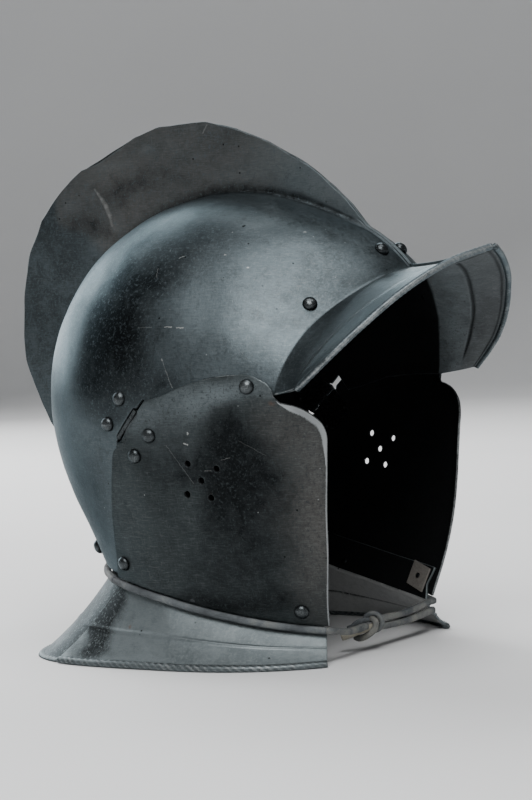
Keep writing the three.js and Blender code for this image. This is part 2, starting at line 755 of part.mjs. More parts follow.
// Rivets: a domed head outside, a shank through the stack and a hammered end inside
const rivetShoulderShare = 0.68;
const rivetShoulderHeightShare = 0.74;
function rivet(spot, top, bottom, peened = true) {
  const head = top + rivetSeat;
  const foot = bottom - (peened ? rivetSeat : 0);
  const profile = [
    [0, head + rivetHeadHeight],
    [rivetHeadRadius * rivetShoulderShare, head + rivetHeadHeight * rivetShoulderHeightShare],
    [rivetHeadRadius, head],
    [rivetShankRadius, head],
    [rivetShankRadius, foot],
    ...(peened ? [[rivetPeenRadius, foot], [0, foot - rivetPeenHeight]] : [[0, foot]]),
  ];
  return lathed(profile, spot);
}

function flushRivet(spot) {
  const foot = -plateThickness - rivetSeat;
  const profile = [
    [0, cheekTop],
    [flushRivetRadius, cheekTop],
    [flushRivetRadius, foot],
    [rivetPeenRadius, foot],
    [0, foot - rivetPeenHeight],
  ];
  return lathed(profile, spot);
}

const rivetSides = 8;
function lathed(profile, spot) {
  const outline = profile.map(([radius, level]) => new THREE.Vector2(radius, level)).reverse();
  const normal = headNormal(spot.y, spot.z);
  const turn = new THREE.Quaternion().setFromUnitVectors(new THREE.Vector3(0, 1, 0), normal);
  const foot = onHead(spot.y, spot.z);
  const geometry = new THREE.LatheGeometry(outline, rivetSides).applyQuaternion(turn);
  return toSolid(geometry.translate(foot.x, foot.y, foot.z));
}

const rivetHole = rivetShankRadius + seatGap;

// Places on the brow, given as shares of its depth at their height and of the widest section's height
function browPlace([depthShare, heightShare]) {
  const z = heightShare * widestHeight;
  return new THREE.Vector3(0, -depthShare * depthAt(z, true), z);
}

const browRivets = { front: browPlace([0.974, 1.567]), side: browPlace([0.6874, 1.369]) };
const hingeSkullRivets = { upper: slotPlace(-5.4, 12.6), lower: slotPlace(12.2, 10.6) };
const hingeCheekRivets = { upper: slotPlace(-3.7, -15.2), lower: slotPlace(12.6, -14.3) };
const lobeRivet = sidePlace([-0.632, 1.067]);
const gorgetRivets = { front: sidePlace([-0.778, 0.208]), rear: sidePlace([0.262, 0.356]) };
const flushRivetPlace = sidePlace([-0.175, 0.231]);
const napeRivetPlace = sidePlace([0.671, 0.375]);

// Square washer inside the lower front rivet
const washerTurn = 0.26;
function washer() {
  const spot = gorgetRivets.front;
  const along = new THREE.Vector3(0, Math.cos(washerTurn), Math.sin(washerTurn));
  const across = new THREE.Vector3(0, -Math.sin(washerTurn), Math.cos(washerTurn));
  const grid = [-0.5, 0.5].map(u => [-0.5, 0.5].map(v => {
    const place = spot.clone().addScaledVector(along, u * washerSide).addScaledVector(across, v * washerSide);
    return onHead(place.y, place.z);
  }));
  const top = -plateThickness - seatGap;
  return toSolid(plate(grid, top, top - washerThickness, sideways)).subtract(holeAt(spot, rivetHole));
}

// Lace: it lies in the waist outside the neck plates and ties in front of the face opening
const laceRiseShare = 0.4;
const laceSettleShare = 0.64;
const laceEndGapShare = 0.003;

function lacePoint(share) {
  const waist = waistPoint(share, 0);
  const normal = headNormal(waist.y, waist.z).setZ(0).normalize();
  const settle = THREE.MathUtils.smoothstep(share, gorgetEndShare, laceSettleShare);
  const lift = laceLift + settle * (napeTop + plateGap);
  return waist.addScaledVector(normal, lift).add(new THREE.Vector3(0, 0, laceRadius * laceRiseShare));
}

const parts = new THREE.Group();

function addNode(name, geometry, colour, roughness, metalness) {
  const material = new THREE.MeshStandardMaterial({ color: colour, roughness, metalness });
  const mesh = new THREE.Mesh(geometry.applyMatrix4(standing), material);
  mesh.name = name;
  parts.add(mesh);
}

const steel = [0x3a4043, 0.42, 0.9];
const darkSteel = [0x2c3133, 0.5, 0.9];
const leather = [0x4c4a44, 0.85, 0];

function addPair(name, solid, finish) {
  const geometry = toGeometry(solid);
  addNode(`${name}_right`, mirrored(geometry), ...finish);
  addNode(`${name}_left`, geometry, ...finish);
}

function holesAt(solid, spots, radius = rivetHole) {
  return spots.reduce((left, spot) => left.subtract(holeAt(spot, radius)), solid);
}

const skullSpots = [...Object.values(browRivets), ...Object.values(hingeSkullRivets), napeRivetPlace];
const cheekSpots = [...Object.values(hingeCheekRivets), lobeRivet, ...Object.values(gorgetRivets)];

const cheek = holesAt(holesAt(cheekShell(), cheekSpots), [flushRivetPlace], flushRivetRadius + seatGap);
const gorget = holesAt(holesAt(gorgetPlate(), Object.values(gorgetRivets)), [flushRivetPlace],
  flushRivetRadius + seatGap);
const napeHole = holeAt(napeRivetPlace, rivetHole);
const nape = napePlate().subtract(napeHole).subtract(toSolid(mirrored(toGeometry(napeHole))));

addPair('skull', holesAt(skullHalf(), skullSpots), steel);
addPair('cheek', cheek, steel);
addPair('gorget_plate', gorget, steel);
addNode('nape_plate', toGeometry(nape), ...steel);

const skullLeaf = holesAt(hingeSkullLeaf(), Object.values(hingeSkullRivets));
const cheekLeaf = holesAt(hingeCheekLeaf(), Object.values(hingeCheekRivets));
addPair('hinge_skull_leaf', skullLeaf, darkSteel);
addPair('hinge_cheek_leaf', cheekLeaf, darkSteel);
const pinSides = 8;
const pin = bar(alongHinge(hingeShift), hingeAxis, pinRadius, hingeLength + pinRadius, pinSides);
addPair('hinge_pin', pin, darkSteel);

const skullInside = -plateThickness;
const skullLeafInside = skullInside - hingeLeafGap - hingeLeafThickness;
const cheekLeafInside = cheekBottom - seatGap - hingeLeafThickness;
const washerInside = skullInside - seatGap - washerThickness;
addPair('rivet_brow_front', rivet(browRivets.front, skullTop, skullInside), steel);
addPair('rivet_brow_side', rivet(browRivets.side, skullTop, skullInside), steel);
addPair('rivet_hinge_skull_upper', rivet(hingeSkullRivets.upper, skullTop, skullLeafInside), steel);
addPair('rivet_hinge_skull_lower', rivet(hingeSkullRivets.lower, skullTop, skullLeafInside), steel);
addPair('rivet_hinge_cheek_upper', rivet(hingeCheekRivets.upper, cheekTop, cheekLeafInside), steel);
addPair('rivet_hinge_cheek_lower', rivet(hingeCheekRivets.lower, cheekTop, cheekLeafInside), steel);
addPair('rivet_lobe', rivet(lobeRivet, cheekTop, cheekBottom, false), steel);
addPair('rivet_gorget_front', rivet(gorgetRivets.front, cheekTop, washerInside), steel);
addPair('rivet_gorget_rear', rivet(gorgetRivets.rear, cheekTop, skullInside), steel);
addPair('rivet_gorget_middle', flushRivet(flushRivetPlace), steel);
addPair('rivet_nape', rivet(napeRivetPlace, skullTop, napeTop - plateThickness), steel);
addPair('washer_gorget', washer(), darkSteel);

const laceSteps = 16;
const laceSide = evenShares(laceSteps / 2).map(share => lacePoint(share * gorgetEndShare));
addPair('lace_side', tube(laceSide, laceRadius, laceSteps), leather);
const napeLace = evenShares(laceSteps / 3)
  .map(share => lacePoint(THREE.MathUtils.lerp(gorgetEndShare + laceEndGapShare, 1, share)));
addNode('lace_nape', toGeometry(tube(bothSides(napeLace), laceRadius, laceSteps)), ...leather);

// Front of the lace: one strand from the right, the knot, and two strands on to the left
const knotCentre = new THREE.Vector3(knotX, -knotReach, knotZ);
const frontSteps = 9;

function frontStrand(corner, heading, toKnot) {
  const start = corner.clone().addScaledVector(heading, seatGap);
  const bend = start.clone().addScaledVector(heading, laceRadius);
  const run = toKnot.clone().sub(bend);
  const sag = new THREE.Vector3(0, 0, -laceSag);
  const eased = bend.clone().addScaledVector(run, laceBendShare);
  const middle = bend.clone().addScaledVector(run, 0.5).add(sag);
  return [start, bend, eased, middle, toKnot];
}

const cornerLeft = lacePoint(0);
const headingLeft = cornerLeft.clone().sub(lacePoint(laceEndGapShare)).normalize();
const cornerRight = cornerLeft.clone().multiply(mirrorX);
const headingRight = headingLeft.clone().multiply(mirrorX);
const besideKnot = knotLength / 2 + seatGap;
const pairDrop = laceRadius + seatGap / 2;
const knotRight = knotCentre.clone().add(new THREE.Vector3(-besideKnot, 0, 0));
const knotUpper = knotCentre.clone().add(new THREE.Vector3(besideKnot, 0, pairDrop));
const knotLower = knotCentre.clone().add(new THREE.Vector3(besideKnot, 0, -pairDrop));

const singleStrand = frontStrand(cornerRight, headingRight, knotRight);
const upperStrand = frontStrand(cornerLeft, headingLeft, knotUpper);
const lowerStrand = upperStrand.slice(2).map((point, i) => point.clone()
  .add(new THREE.Vector3(0, -laceRadius * (2 - i) / 2, -pairDrop * 2)));
addNode('lace_front_right', toGeometry(tube(singleStrand, laceRadius, frontSteps)), ...leather);
addNode('lace_front_upper', toGeometry(tube(upperStrand, laceRadius, frontSteps)), ...leather);
addNode('lace_front_lower', toGeometry(tube(lowerStrand, laceRadius, frontSteps)), ...leather);

// The knot: turns about a core along the strands, and the cut end
const knotTurns = 1.3;
const knotStartTurn = 0.5;
const knotTurnSteps = 12;
const knotSides = 6;
const knotSpreadShare = 0.62;
const cutEndHeading = new THREE.Vector3(-0.8, -0.54, -0.3).normalize();

function knot() {
  const turns = evenShares(knotTurnSteps).map(share => {
    const angle = (share * knotTurns + knotStartTurn) * 2 * Math.PI;
    const round = new THREE.Vector3(0, knotTurnRadius * Math.cos(angle), knotTurnRadius * Math.sin(angle));
    return round.add(knotCentre).setX(knotX + knotLength * knotSpreadShare * (0.5 - share));
  });
  const core = bar(knotCentre, new THREE.Vector3(1, 0, 0), knotCoreRadius, knotLength, knotSides);
  const cutEnd = knotCentre.clone().addScaledVector(cutEndHeading, laceEndLength);
  const middle = knotCentre.clone().lerp(cutEnd, 0.5);
  return tube(turns, laceRadius, knotTurnSteps, knotSides)
    .add(core)
    .add(tube([knotCentre, middle, cutEnd], laceRadius, 2, knotSides));
}

addNode('lace_knot', toGeometry(knot()), ...leather);

export default parts;
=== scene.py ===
import math

import bpy
import numpy as np
from mathutils import Matrix, Vector


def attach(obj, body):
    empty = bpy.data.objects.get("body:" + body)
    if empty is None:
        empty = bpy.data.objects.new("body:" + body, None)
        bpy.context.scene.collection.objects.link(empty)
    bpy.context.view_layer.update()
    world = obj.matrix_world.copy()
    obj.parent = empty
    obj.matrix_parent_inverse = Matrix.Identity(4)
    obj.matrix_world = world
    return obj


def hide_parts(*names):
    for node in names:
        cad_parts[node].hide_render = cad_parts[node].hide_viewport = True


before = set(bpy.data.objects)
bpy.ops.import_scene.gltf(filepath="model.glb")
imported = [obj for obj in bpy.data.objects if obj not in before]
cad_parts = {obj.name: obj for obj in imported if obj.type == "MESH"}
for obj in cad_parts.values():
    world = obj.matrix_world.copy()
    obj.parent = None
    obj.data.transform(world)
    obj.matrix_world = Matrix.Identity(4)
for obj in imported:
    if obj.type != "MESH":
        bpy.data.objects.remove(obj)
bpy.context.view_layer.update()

# Shapes are worked out in millimetres in the head frame, on the wearer's left.
# They are stood up and mirrored last.
MM = 0.001
TILT = math.radians(2.45)
SETBACK = 9.7
REST_REACH = 95.0

HALF_WIDTH = 106.5
FRONT_DEPTH = 168.0
REAR_DEPTH = 117.0
WIDEST = 144.0
CROWN = 258.7
THICK = 1.6
GAP = 0.45
SEAT = 0.3
COMB_GAP = 0.3
COMB_HEIGHT = 60.5
RIDGE = 1.2
FILLET = 2.4
PEAK_REACH = 161.1
PEAK_TIP = 227.5
PEAK_HOLLOW = 2.6
PEAK_BEAD = 1.9
PEAK_ROPE = 3.4
CREASE_BOW = 6.0
FACE_REACH = 101.4
WAIST_LOW = 17.0
WAIST_RISE = 24.0
BASE_BEAD = 2.2
BASE_ROPE = 4.3
FLANGE = 19.0
LACE = 2.1
LEAF = 1.2
SUNK_LEAF = 0.7
FLIP = np.array([-1, 1, 1])
FLAT = np.array([0.0, 1.0, 1.0])


# Camera at the photo's viewing angle
CAMERA_PLACE = (-1.178361, -0.756336, 0.215145)
CAMERA_FORWARD = (0.84368057, 0.53426098, -0.05261469)
CAMERA_RIGHT = (0.53222182, -0.84522274, -0.04835761)
CAMERA_UP = (0.07030671, -0.01279569, 0.99744335)
LENS = 108
SENSOR = 36


def add_camera():
    data = bpy.data.cameras.new("camera")
    data.lens = LENS
    data.sensor_width = SENSOR
    data.clip_start = 0.05
    data.clip_end = 60
    camera = bpy.data.objects.new("camera", data)
    right, up, near = Vector(CAMERA_RIGHT), Vector(CAMERA_UP), -Vector(CAMERA_FORWARD)
    turn = Matrix((right, up, near)).transposed()
    camera.matrix_world = Matrix.Translation(CAMERA_PLACE) @ turn.to_4x4()
    bpy.context.scene.collection.objects.link(camera)
    bpy.context.scene.camera = camera
    return right, up, near


view_right, view_up, view_near = (np.array(axis) for axis in add_camera())


# Sums on numbers and points
def unit(v):
    return v / np.maximum(np.linalg.norm(v, axis=-1, keepdims=True), 1e-12)


def lerp(a, b, t):
    return a + (b - a) * t


def smoothstep(x, low, high):
    t = np.clip((x - low) / (high - low), 0, 1)
    return t * t * (3 - 2 * t)


def bell(x, width):
    return np.exp(-(x / width) ** 2)


def run_along(points):
    """Length along a path, per point."""
    return np.concatenate([[0], np.cumsum(np.linalg.norm(np.diff(points, axis=0), axis=1))])


# Head form
def smooth_table(inputs, outputs):
    """Smooth function through a table."""
    xs = np.array(inputs, float)
    ys = np.array(outputs, float)
    slopes = np.gradient(ys, xs)
    slopes[1:-1] = (ys[2:] - ys[:-2]) / (xs[2:] - xs[:-2])

    def at(value):
        v = np.clip(np.asarray(value, float), xs[0], xs[-1])
        i = np.clip(np.searchsorted(xs, v, side="right") - 1, 0, len(xs) - 2)
        span = xs[i + 1] - xs[i]
        t = (v - xs[i]) / span
        rise = t * t * (3 - 2 * t)
        start = t * (1 - t) * (1 - t) * slopes[i] * span
        end = t * t * (t - 1) * slopes[i + 1] * span
        return ys[i] * (1 - rise) + ys[i + 1] * rise + start + end

    return at


LOW = [0, 0.111, 0.278, 0.444, 0.597, 0.75, 0.903, 1]
HIGH = [0, 0.06, 0.157, 0.257, 0.348, 0.436, 0.514, 0.636, 0.785, 0.854, 0.928, 1]
low_width = smooth_table(LOW, [0.714, 0.746, 0.808, 0.864, 0.911, 0.948, 0.988, 1])
low_front = smooth_table(LOW, [0.702, 0.762, 0.863, 0.91, 0.916, 0.902, 0.886, 0.92])
low_rear = smooth_table(LOW, [0.62, 0.63, 0.675, 0.777, 0.889, 0.968, 1.001, 1])
high_front = smooth_table(
    HIGH, [0.92, 1, 0.952, 0.899, 0.857, 0.827, 0.824, 0.845, 0.854, 0.827, 0.762, 0.696])
keel_power = smooth_table([0.35, 0.62, 0.85, 1], [0.5, 0.64, 0.64, 0.5])
waist_shares = smooth_table([-0.89, -0.57, -0.17, 0.03, 0.36, 0.8], [0, 0.15, 0.44, 0.63, 0.86, 1])
comb_share = smooth_table(
    [-60, -30, -24, -16, -8, 2, 14, 27, 34, 48, 62, 77, 93, 103.5, 113.5, 122, 131, 136, 150],
    [0, 0, 0.1, 0.27, 0.46, 0.67, 0.81, 0.975, 1, 0.95, 0.86, 0.76, 0.545, 0.41, 0.295, 0.18, 0.03, 0, 0])


def rise_share(z):
    return (z - WIDEST) / (CROWN - WIDEST)


def dome_share(z):
    return np.sqrt(np.maximum(0, 1 - rise_share(z) ** 2))


def half_width(z):
    return HALF_WIDTH * np.where(z < WIDEST, low_width(z / WIDEST), dome_share(z))


def depth(z, at_front):
    share = z / WIDEST
    low = np.where(at_front, FRONT_DEPTH * low_front(share), REAR_DEPTH * low_rear(share))
    high = dome_share(z) * np.where(at_front, FRONT_DEPTH * high_front(rise_share(z)), REAR_DEPTH)
    return np.where(z < WIDEST, low, high)


def side_x(y, z):
    share = y / np.maximum(depth(z, y < 0), 1e-6)
    power = np.where(y < 0, keel_power(rise_share(z)), 0.5)
    return half_width(z) * np.maximum(0, 1 - share * share) ** power


def on_head(y, z):
    y, z = np.broadcast_arrays(np.asarray(y, float), np.asarray(z, float))
    return np.stack([side_x(y, z), y, z], axis=-1)


def head_normal(y, z):
    step = 0.005 * HALF_WIDTH
    along_y = (side_x(y + step, z) - side_x(y - step, z)) / (2 * step)
    along_z = (side_x(y, z + step) - side_x(y, z - step)) / (2 * step)
    return unit(np.stack([np.ones_like(along_y), -along_y, -along_z], axis=-1))


def middle_outline(degrees):
    angle = np.radians(degrees)
    low = np.zeros_like(angle)
    high = np.full_like(angle, FRONT_DEPTH)
    for _ in range(40):
        reach = (low + high) / 2
        y = reach * np.cos(angle)
        z = WIDEST + reach * np.sin(angle)
        inside = (z < CROWN) & (np.abs(y) < depth(np.minimum(z, CROWN), y < 0))
        low = np.where(inside, reach, low)
        high = np.where(inside, high, reach)
    return low * np.cos(angle), WIDEST + low * np.sin(angle)


def curve_points(points, shares):
    """Smooth curve through points, at shares of its length."""
    pts = np.array(points, float)
    ends = np.vstack([2 * pts[0] - pts[1], pts, 2 * pts[-1] - pts[-2]])
    dense = []
    for i in range(len(pts) - 1):
        p0, p1, p2, p3 = ends[i:i + 4]
        d0, d1, d2 = (max(np.linalg.norm(b - a), 1e-6) ** 0.5 for a, b in ((p0, p1), (p1, p2), (p2, p3)))
        t1 = ((p1 - p0) / d0 - (p2 - p0) / (d0 + d1) + (p2 - p1) / d1) * d1
        t2 = ((p2 - p1) / d1 - (p3 - p1) / (d1 + d2) + (p3 - p2) / d2) * d1
        t = np.linspace(0, 1, 60, endpoint=i == len(pts) - 2)[:, None]
        squared = 3 * (p2 - p1) - 2 * t1 - t2
        cubed = 2 * (p1 - p2) + t1 + t2
        dense.append(p1 + t1 * t + squared * t ** 2 + cubed * t ** 3)
    dense = np.vstack(dense)
    run = run_along(dense)
    where = np.asarray(shares, float) * run[-1]
    return np.stack([np.interp(where, run, dense[:, c]) for c in range(3)], axis=-1)


def side_place(reach_share, height_share):
    return np.array([0.0, reach_share * FACE_REACH, height_share * WIDEST])


def waist_height(y):
    return WAIST_LOW + WAIST_RISE * waist_shares(y / FACE_REACH)


# Hinge slot
SLOT_TOP = np.array([0, -1.8, 146.0])
SLOT_LOW = np.array([0, 19.9, 120.6])
SLOT_MIDDLE = (SLOT_TOP + SLOT_LOW) / 2
SLOT_HALF = np.linalg.norm(SLOT_LOW - SLOT_TOP) / 2
SLOT_ALONG = unit(SLOT_LOW - SLOT_TOP)
SLOT_ACROSS = np.array([0, -SLOT_ALONG[2], SLOT_ALONG[1]])
SLOT_SKULL_SIDE = 2.5
SLOT_CHEEK_SIDE = -2.1
KNUCKLE_START = -7.9
KNUCKLE_END = 13.1
KNUCKLE_ROOM = 0.6
KNUCKLE_RAMP = 1.4


def slot_place(along, across):
    return SLOT_MIDDLE + SLOT_ALONG * along + SLOT_ACROSS * across


def past_knuckles(edge):
    """0 where an edge along the slot lets the knuckles through, 1 past them."""
    along = (edge - SLOT_MIDDLE) @ SLOT_ALONG
    started = smoothstep(along, KNUCKLE_START - KNUCKLE_RAMP, KNUCKLE_START - KNUCKLE_ROOM)
    ended = smoothstep(along, KNUCKLE_END + KNUCKLE_ROOM, KNUCKLE_END + KNUCKLE_RAMP)
    return 1 - started * (1 - ended)


# Meshes
def ripple(points, wave, amount, seed):
    """Smooth seeded unevenness, one value per point."""
    random = np.random.default_rng(seed)
    total = np.zeros(points.shape[:-1])
    for _ in range(10):
        heading = unit(random.normal(size=3)) * 2 * math.pi / (wave * random.uniform(0.7, 1.5))
        total += np.sin(points @ heading + random.uniform(0, 2 * math.pi))
    return total * amount / 3


def stand(points):
    x, y, z = points[..., 0], points[..., 1], points[..., 2]
    cos, sin = math.cos(TILT), math.sin(TILT)
    lifted = np.stack([x, y * cos - z * sin + SETBACK, y * sin + z * cos + REST_REACH * sin], axis=-1)
    lifted[..., 2] = np.maximum(lifted[..., 2], 0)
    return lifted * MM


def add_mesh(name, points, faces, materials, slots=None, values=None, mirror=False):
    """points already stood up, in metres; values are named numbers per point."""
    if mirror:
        points = points * FLIP
        faces = [face[::-1] for face in faces]
    mesh = bpy.data.meshes.new(name)
    mesh.from_pydata(points.tolist(), [], faces)
    for material in materials:
        mesh.materials.append(material)
    if slots is not None:
        mesh.polygons.foreach_set("material_index", np.asarray(slots, dtype=np.int32))
    for key, numbers in (values or {}).items():
        layer = mesh.attributes.new(key, "FLOAT", "POINT")
        layer.data.foreach_set("value", np.asarray(numbers, dtype=np.float32))
    mesh.polygons.foreach_set("use_smooth", np.ones(len(faces), dtype=bool))
    mesh.update()
    piece = bpy.data.objects.new(name, mesh)
    bpy.context.scene.collection.objects.link(piece)
    return piece


def grid_normals(grid, hint):
    normals = unit(np.cross(np.gradient(grid, axis=0), np.gradient(grid, axis=1)))
    middle = normals[grid.shape[0] // 2, grid.shape[1] // 2]
    return normals * (-1 if middle @ np.array(hint, float) < 0 else 1)


def quads(*corners):
    return np.stack(corners, axis=-1).reshape(-1, 4)


def signed_volume(points, faces):
    p = points[faces]
    first = np.einsum("ij,ij->i", p[:, 0], np.cross(p[:, 1], p[:, 2]))
    second = np.einsum("ij,ij->i", p[:, 0], np.cross(p[:, 2], p[:, 3]))
    return float(first.sum() + second.sum())


def closed_rings(rings, tips):
    """Closed skin over rings of points, drawn together at a tip on each end."""
    count, sides = rings.shape[:2]
    points = np.concatenate([rings.reshape(-1, 3), tips])
    at = np.arange(count * sides).reshape(count, sides)
    beside = np.roll(at, -1, axis=1)
    walls = quads(at[:-1], at[1:], beside[1:], beside[:-1])
    faces = walls.tolist()
    faces += [[at.size, a, b] for a, b in zip(at[0], beside[0])]
    faces += [[at.size + 1, b, a] for a, b in zip(at[-1], beside[-1])]
    if signed_volume(points, walls) < 0:
        faces = [face[::-1] for face in faces]
    return points, faces


# Plates. Their faces are of three kinds, and their edge is rounded by rings of points.
UPPER, LOWER, EDGE = 0, 1, 2
RINGS = 9
EDGE_BULGE = 0.6
BEAD_TURN = 148


def plate(grid, normals, top, bottom, lift=0, bead=None, rope=None):
    """Closed plate over a grid. bead gives, per border point, a radius that replaces the plain edge."""
    columns, rows = grid.shape[:2]
    rise = np.broadcast_to(lift, (columns, rows))[..., None]
    upper = grid + normals * (top + rise)
    lower = grid + normals * (bottom + rise)
    border = [(i, 0) for i in range(columns)] + [(columns - 1, k) for k in range(1, rows)]
    border += [(i, rows - 1) for i in range(columns - 2, -1, -1)] + [(0, k) for k in range(rows - 2, 0, -1)]
    bi, bk = np.array(border).T
    inward = grid[np.clip(bi, 1, columns - 2), np.clip(bk, 1, rows - 2)] - grid[bi, bk]
    middle = (upper[bi, bk] + lower[bi, bk]) / 2
    normal = normals[bi, bk]
    tangent = unit(np.roll(middle, -1, axis=0) - np.roll(middle, 1, axis=0))
    out = unit(np.cross(tangent, normal))
    if np.einsum("ij,ij->i", out, unit(inward)).sum() > 0:
        out = -out
    half = (top - bottom) / 2
    turn = np.radians(np.linspace(90, -90, RINGS + 2)[1:-1])
    reach = EDGE_BULGE * half * np.cos(turn)
    height = half * np.sin(turn)
    strands = None
    if bead is not None:
        radius = bead(bi, bk)[:, None]
        turn = np.radians(np.linspace(BEAD_TURN, -BEAD_TURN, RINGS))
        strands = rope(run_along(middle)[:, None], turn[None, :])
        size = radius * (1 + strands)
        reach = np.where(radius > 0, radius + size * np.cos(turn), reach)
        height = np.where(radius > 0, size * np.sin(turn), height)
    rings = middle[:, None] + out[:, None] * reach[..., None] + normal[:, None] * height[..., None]
    at = np.arange(columns * rows).reshape(columns, rows)
    a, b, c, d = at[:-1, :-1], at[1:, :-1], at[1:, 1:], at[:-1, 1:]
    face_up = quads(a, b, c, d)
    face_low = quads(a, d, c, b) + at.size
    brink = at[bi, bk][:, None]
    ring_at = 2 * at.size + np.arange(brink.size * RINGS).reshape(-1, RINGS)
    chain = np.concatenate([brink, ring_at, brink + at.size], axis=1)
    after = np.roll(chain, -1, axis=0)
    side = quads(chain[:, :-1], chain[:, 1:], after[:, 1:], after[:, :-1])
    points = np.concatenate([upper.reshape(-1, 3), lower.reshape(-1, 3), rings.reshape(-1, 3)])
    faces = np.concatenate([face_up, face_low, side])
    kinds = np.repeat([UPPER, LOWER, EDGE], [len(face_up), len(face_low), len(side)])
    if signed_volume(points, faces) < 0:
        faces = faces[:, ::-1]
    return points, faces, kinds, (bi, bk), strands


def per_point(upper, lower, border, rings=None):
    """Numbers for all points of a plate. The rings take those of the upper side, unless rings are given."""
    if rings is None:
        rings = np.repeat(upper[border], RINGS)
    return np.concatenate([upper.ravel(), (lower + 0 * upper).ravel(), rings.ravel()])


def spots(points, places):
    """Soft spots in the side view, each given as y, z, half length, half height and strength."""
    total = np.zeros(points.shape[:-1])
    astray = ripple(points, 38, 6, 61)
    aside = ripple(points, 44, 6, 62)
    for y, z, long, high, strength in places:
        reach = np.hypot((points[..., 1] + astray - y) / long, (points[..., 2] + aside - z) / high)
        total = 1 - (1 - total) * (1 - strength * (1 - smoothstep(reach, 0.1, 1.6)))
    return total


# Materials
MIX_SHARE, MIX_FROM, MIX_TO, MIX_RESULT = 0, 6, 7, 2


class Tree:
    def __init__(self, name):
        self.material = bpy.data.materials.new(name)
        self.material.use_nodes = True
        self.tree = self.material.node_tree
        self.tree.nodes.clear()
        self.place = self.add("ShaderNodeTexCoord").outputs["Object"]

    def add(self, kind, inputs=None, **settings):
        node = self.tree.nodes.new(kind)
        for key, value in settings.items():
            setattr(node, key, value)
        for key, value in (inputs or {}).items():
            socket = node.inputs[key]
            if isinstance(value, bpy.types.NodeSocket):
                self.tree.links.new(value, socket)
            else:
                socket.default_value = (*value, 1.0) if socket.type == "RGBA" else value
        return node

    def noise(self, vector, scale, detail=4, rough=0.55, warp=0):
        inputs = {"Vector": vector, "Scale": scale, "Detail": detail, "Roughness": rough, "Distortion": warp}
        return self.add("ShaderNodeTexNoise", inputs).outputs["Fac"]

    def stretched(self, scale, turn):
        inputs = {"Vector": self.place, "Scale": scale, "Rotation": (turn, 0, 0)}
        return self.add("ShaderNodeMapping", inputs).outputs["Vector"]

    def cells(self, scale):
        return self.add("ShaderNodeTexVoronoi", {"Vector": self.place, "Scale": scale}).outputs

    def value(self, name):
        return self.add("ShaderNodeAttribute", attribute_name=name).outputs["Fac"]

    def ramp(self, value, low, high, to_low=0.0, to_high=1.0):
        inputs = {"Value": value, "From Min": low, "From Max": high, "To Min": to_low, "To Max": to_high}
        return self.add("ShaderNodeMapRange", inputs, clamp=True).outputs["Result"]

    def math(self, operation, a, b=0.0, clamp=False):
        return self.add("ShaderNodeMath", {0: a, 1: b}, operation=operation, use_clamp=clamp).outputs[0]

    def times(self, a, b):
        return self.math("MULTIPLY", a, b)

    def plus(self, total, *terms):
        """total, with each value times its weight added."""
        for value, weight in terms:
            total = self.math("ADD", total, self.times(value, weight))
        return total

    def around(self, total, *terms):
        """total, with each noise about its middle times its weight added."""
        return self.plus(total, *((self.math("SUBTRACT", noise, 0.5), weight) for noise, weight in terms))

    def vector(self, operation, a, b=None):
        inputs = {0: a} if b is None else {0: a, 1: b}
        node = self.add("ShaderNodeVectorMath", inputs, operation=operation)
        return node.outputs["Value" if operation in ("DOT_PRODUCT", "LENGTH") else "Vector"]

    def scaled(self, a, factor):
        return self.add("ShaderNodeVectorMath", {0: a, "Scale": factor}, operation="SCALE").outputs["Vector"]

    def mix(self, share, a, b, strength=1):
        """Colour between a and b, by share times strength."""
        share = share if strength == 1 else self.times(share, strength)
        inputs = {MIX_SHARE: share, MIX_FROM: a, MIX_TO: b}
        return self.add("ShaderNodeMix", inputs, data_type="RGBA").outputs[MIX_RESULT]

    def finished(self, inputs, height=None, bump=0.0, depth=0.0):
        """The material, with these inputs of its surface and the relief of height."""
        if height is not None:
            relief = self.add("ShaderNodeBump", {"Strength": bump, "Distance": depth, "Height": height})
            inputs["Normal"] = relief.outputs["Normal"]
        surface = self.add("ShaderNodeBsdfPrincipled", inputs).outputs["BSDF"]
        self.add("ShaderNodeOutputMaterial", {"Surface": surface})
        return self.material


MARK_WOBBLE = 1.2
MARK_CORE = 0.35
# Colours of the thin marks. The bright marks along the comb's dent are a painted highlight, and one dark mark
# is a painted shadow.
MARK_DARK = (0.002, 0.002, 0.002)
MARK_BRIGHT = (0.42, 0.43, 0.42)


def draw_marks(t, base, dark, bright):
    """Thin marks of the near side, between two places of the side view, with half width and strength."""
    near = t.math("LESS_THAN", t.add("ShaderNodeSeparateXYZ", {"Vector": t.place}).outputs["X"], 0.0)
    uneven = t.add("ShaderNodeTexNoise", {"Vector": t.place, "Scale": 900.0}).outputs["Color"]
    wobble = t.scaled(t.vector("SUBTRACT", uneven, (0.5, 0.5, 0.5)), MARK_WOBBLE * MM)
    flat = t.vector("MULTIPLY", t.vector("ADD", t.place, wobble), tuple(FLAT))
    for marks, tint in ((dark, MARK_DARK), (bright, MARK_BRIGHT)):
        for start, end, width, strength in marks:
            start, end = stand(np.array([[0, *start], [0, *end]], float))
            run = end - start
            away = t.vector("SUBTRACT", flat, tuple(start))
            along = t.vector("DOT_PRODUCT", away, tuple(run))
            share = t.math("MULTIPLY", along, float(1 / (run @ run)), clamp=True)
            gap = t.vector("LENGTH", t.vector("SUBTRACT", away, t.scaled(tuple(run), share)))
            mark = t.times(t.ramp(gap, width * MM, width * MM * MARK_CORE), near)
            base = t.mix(mark, base, tint, strength)
    return base


WORN = (0.295, 0.312, 0.315)
WARM = (0.098, 0.095, 0.09)
# Colour of painted highlights.
HIGHLIGHT_TINT = (0.17, 0.2, 0.212)
# Darkest tint, for stains and for painted shade alike.
STAIN_AND_SHADE_TINT = (0.0042, 0.0045, 0.005)
PITTED = (0.003, 0.003, 0.003)
RUSTED = (0.085, 0.046, 0.028)
SHEEN = (0.5, 0.56, 0.59)


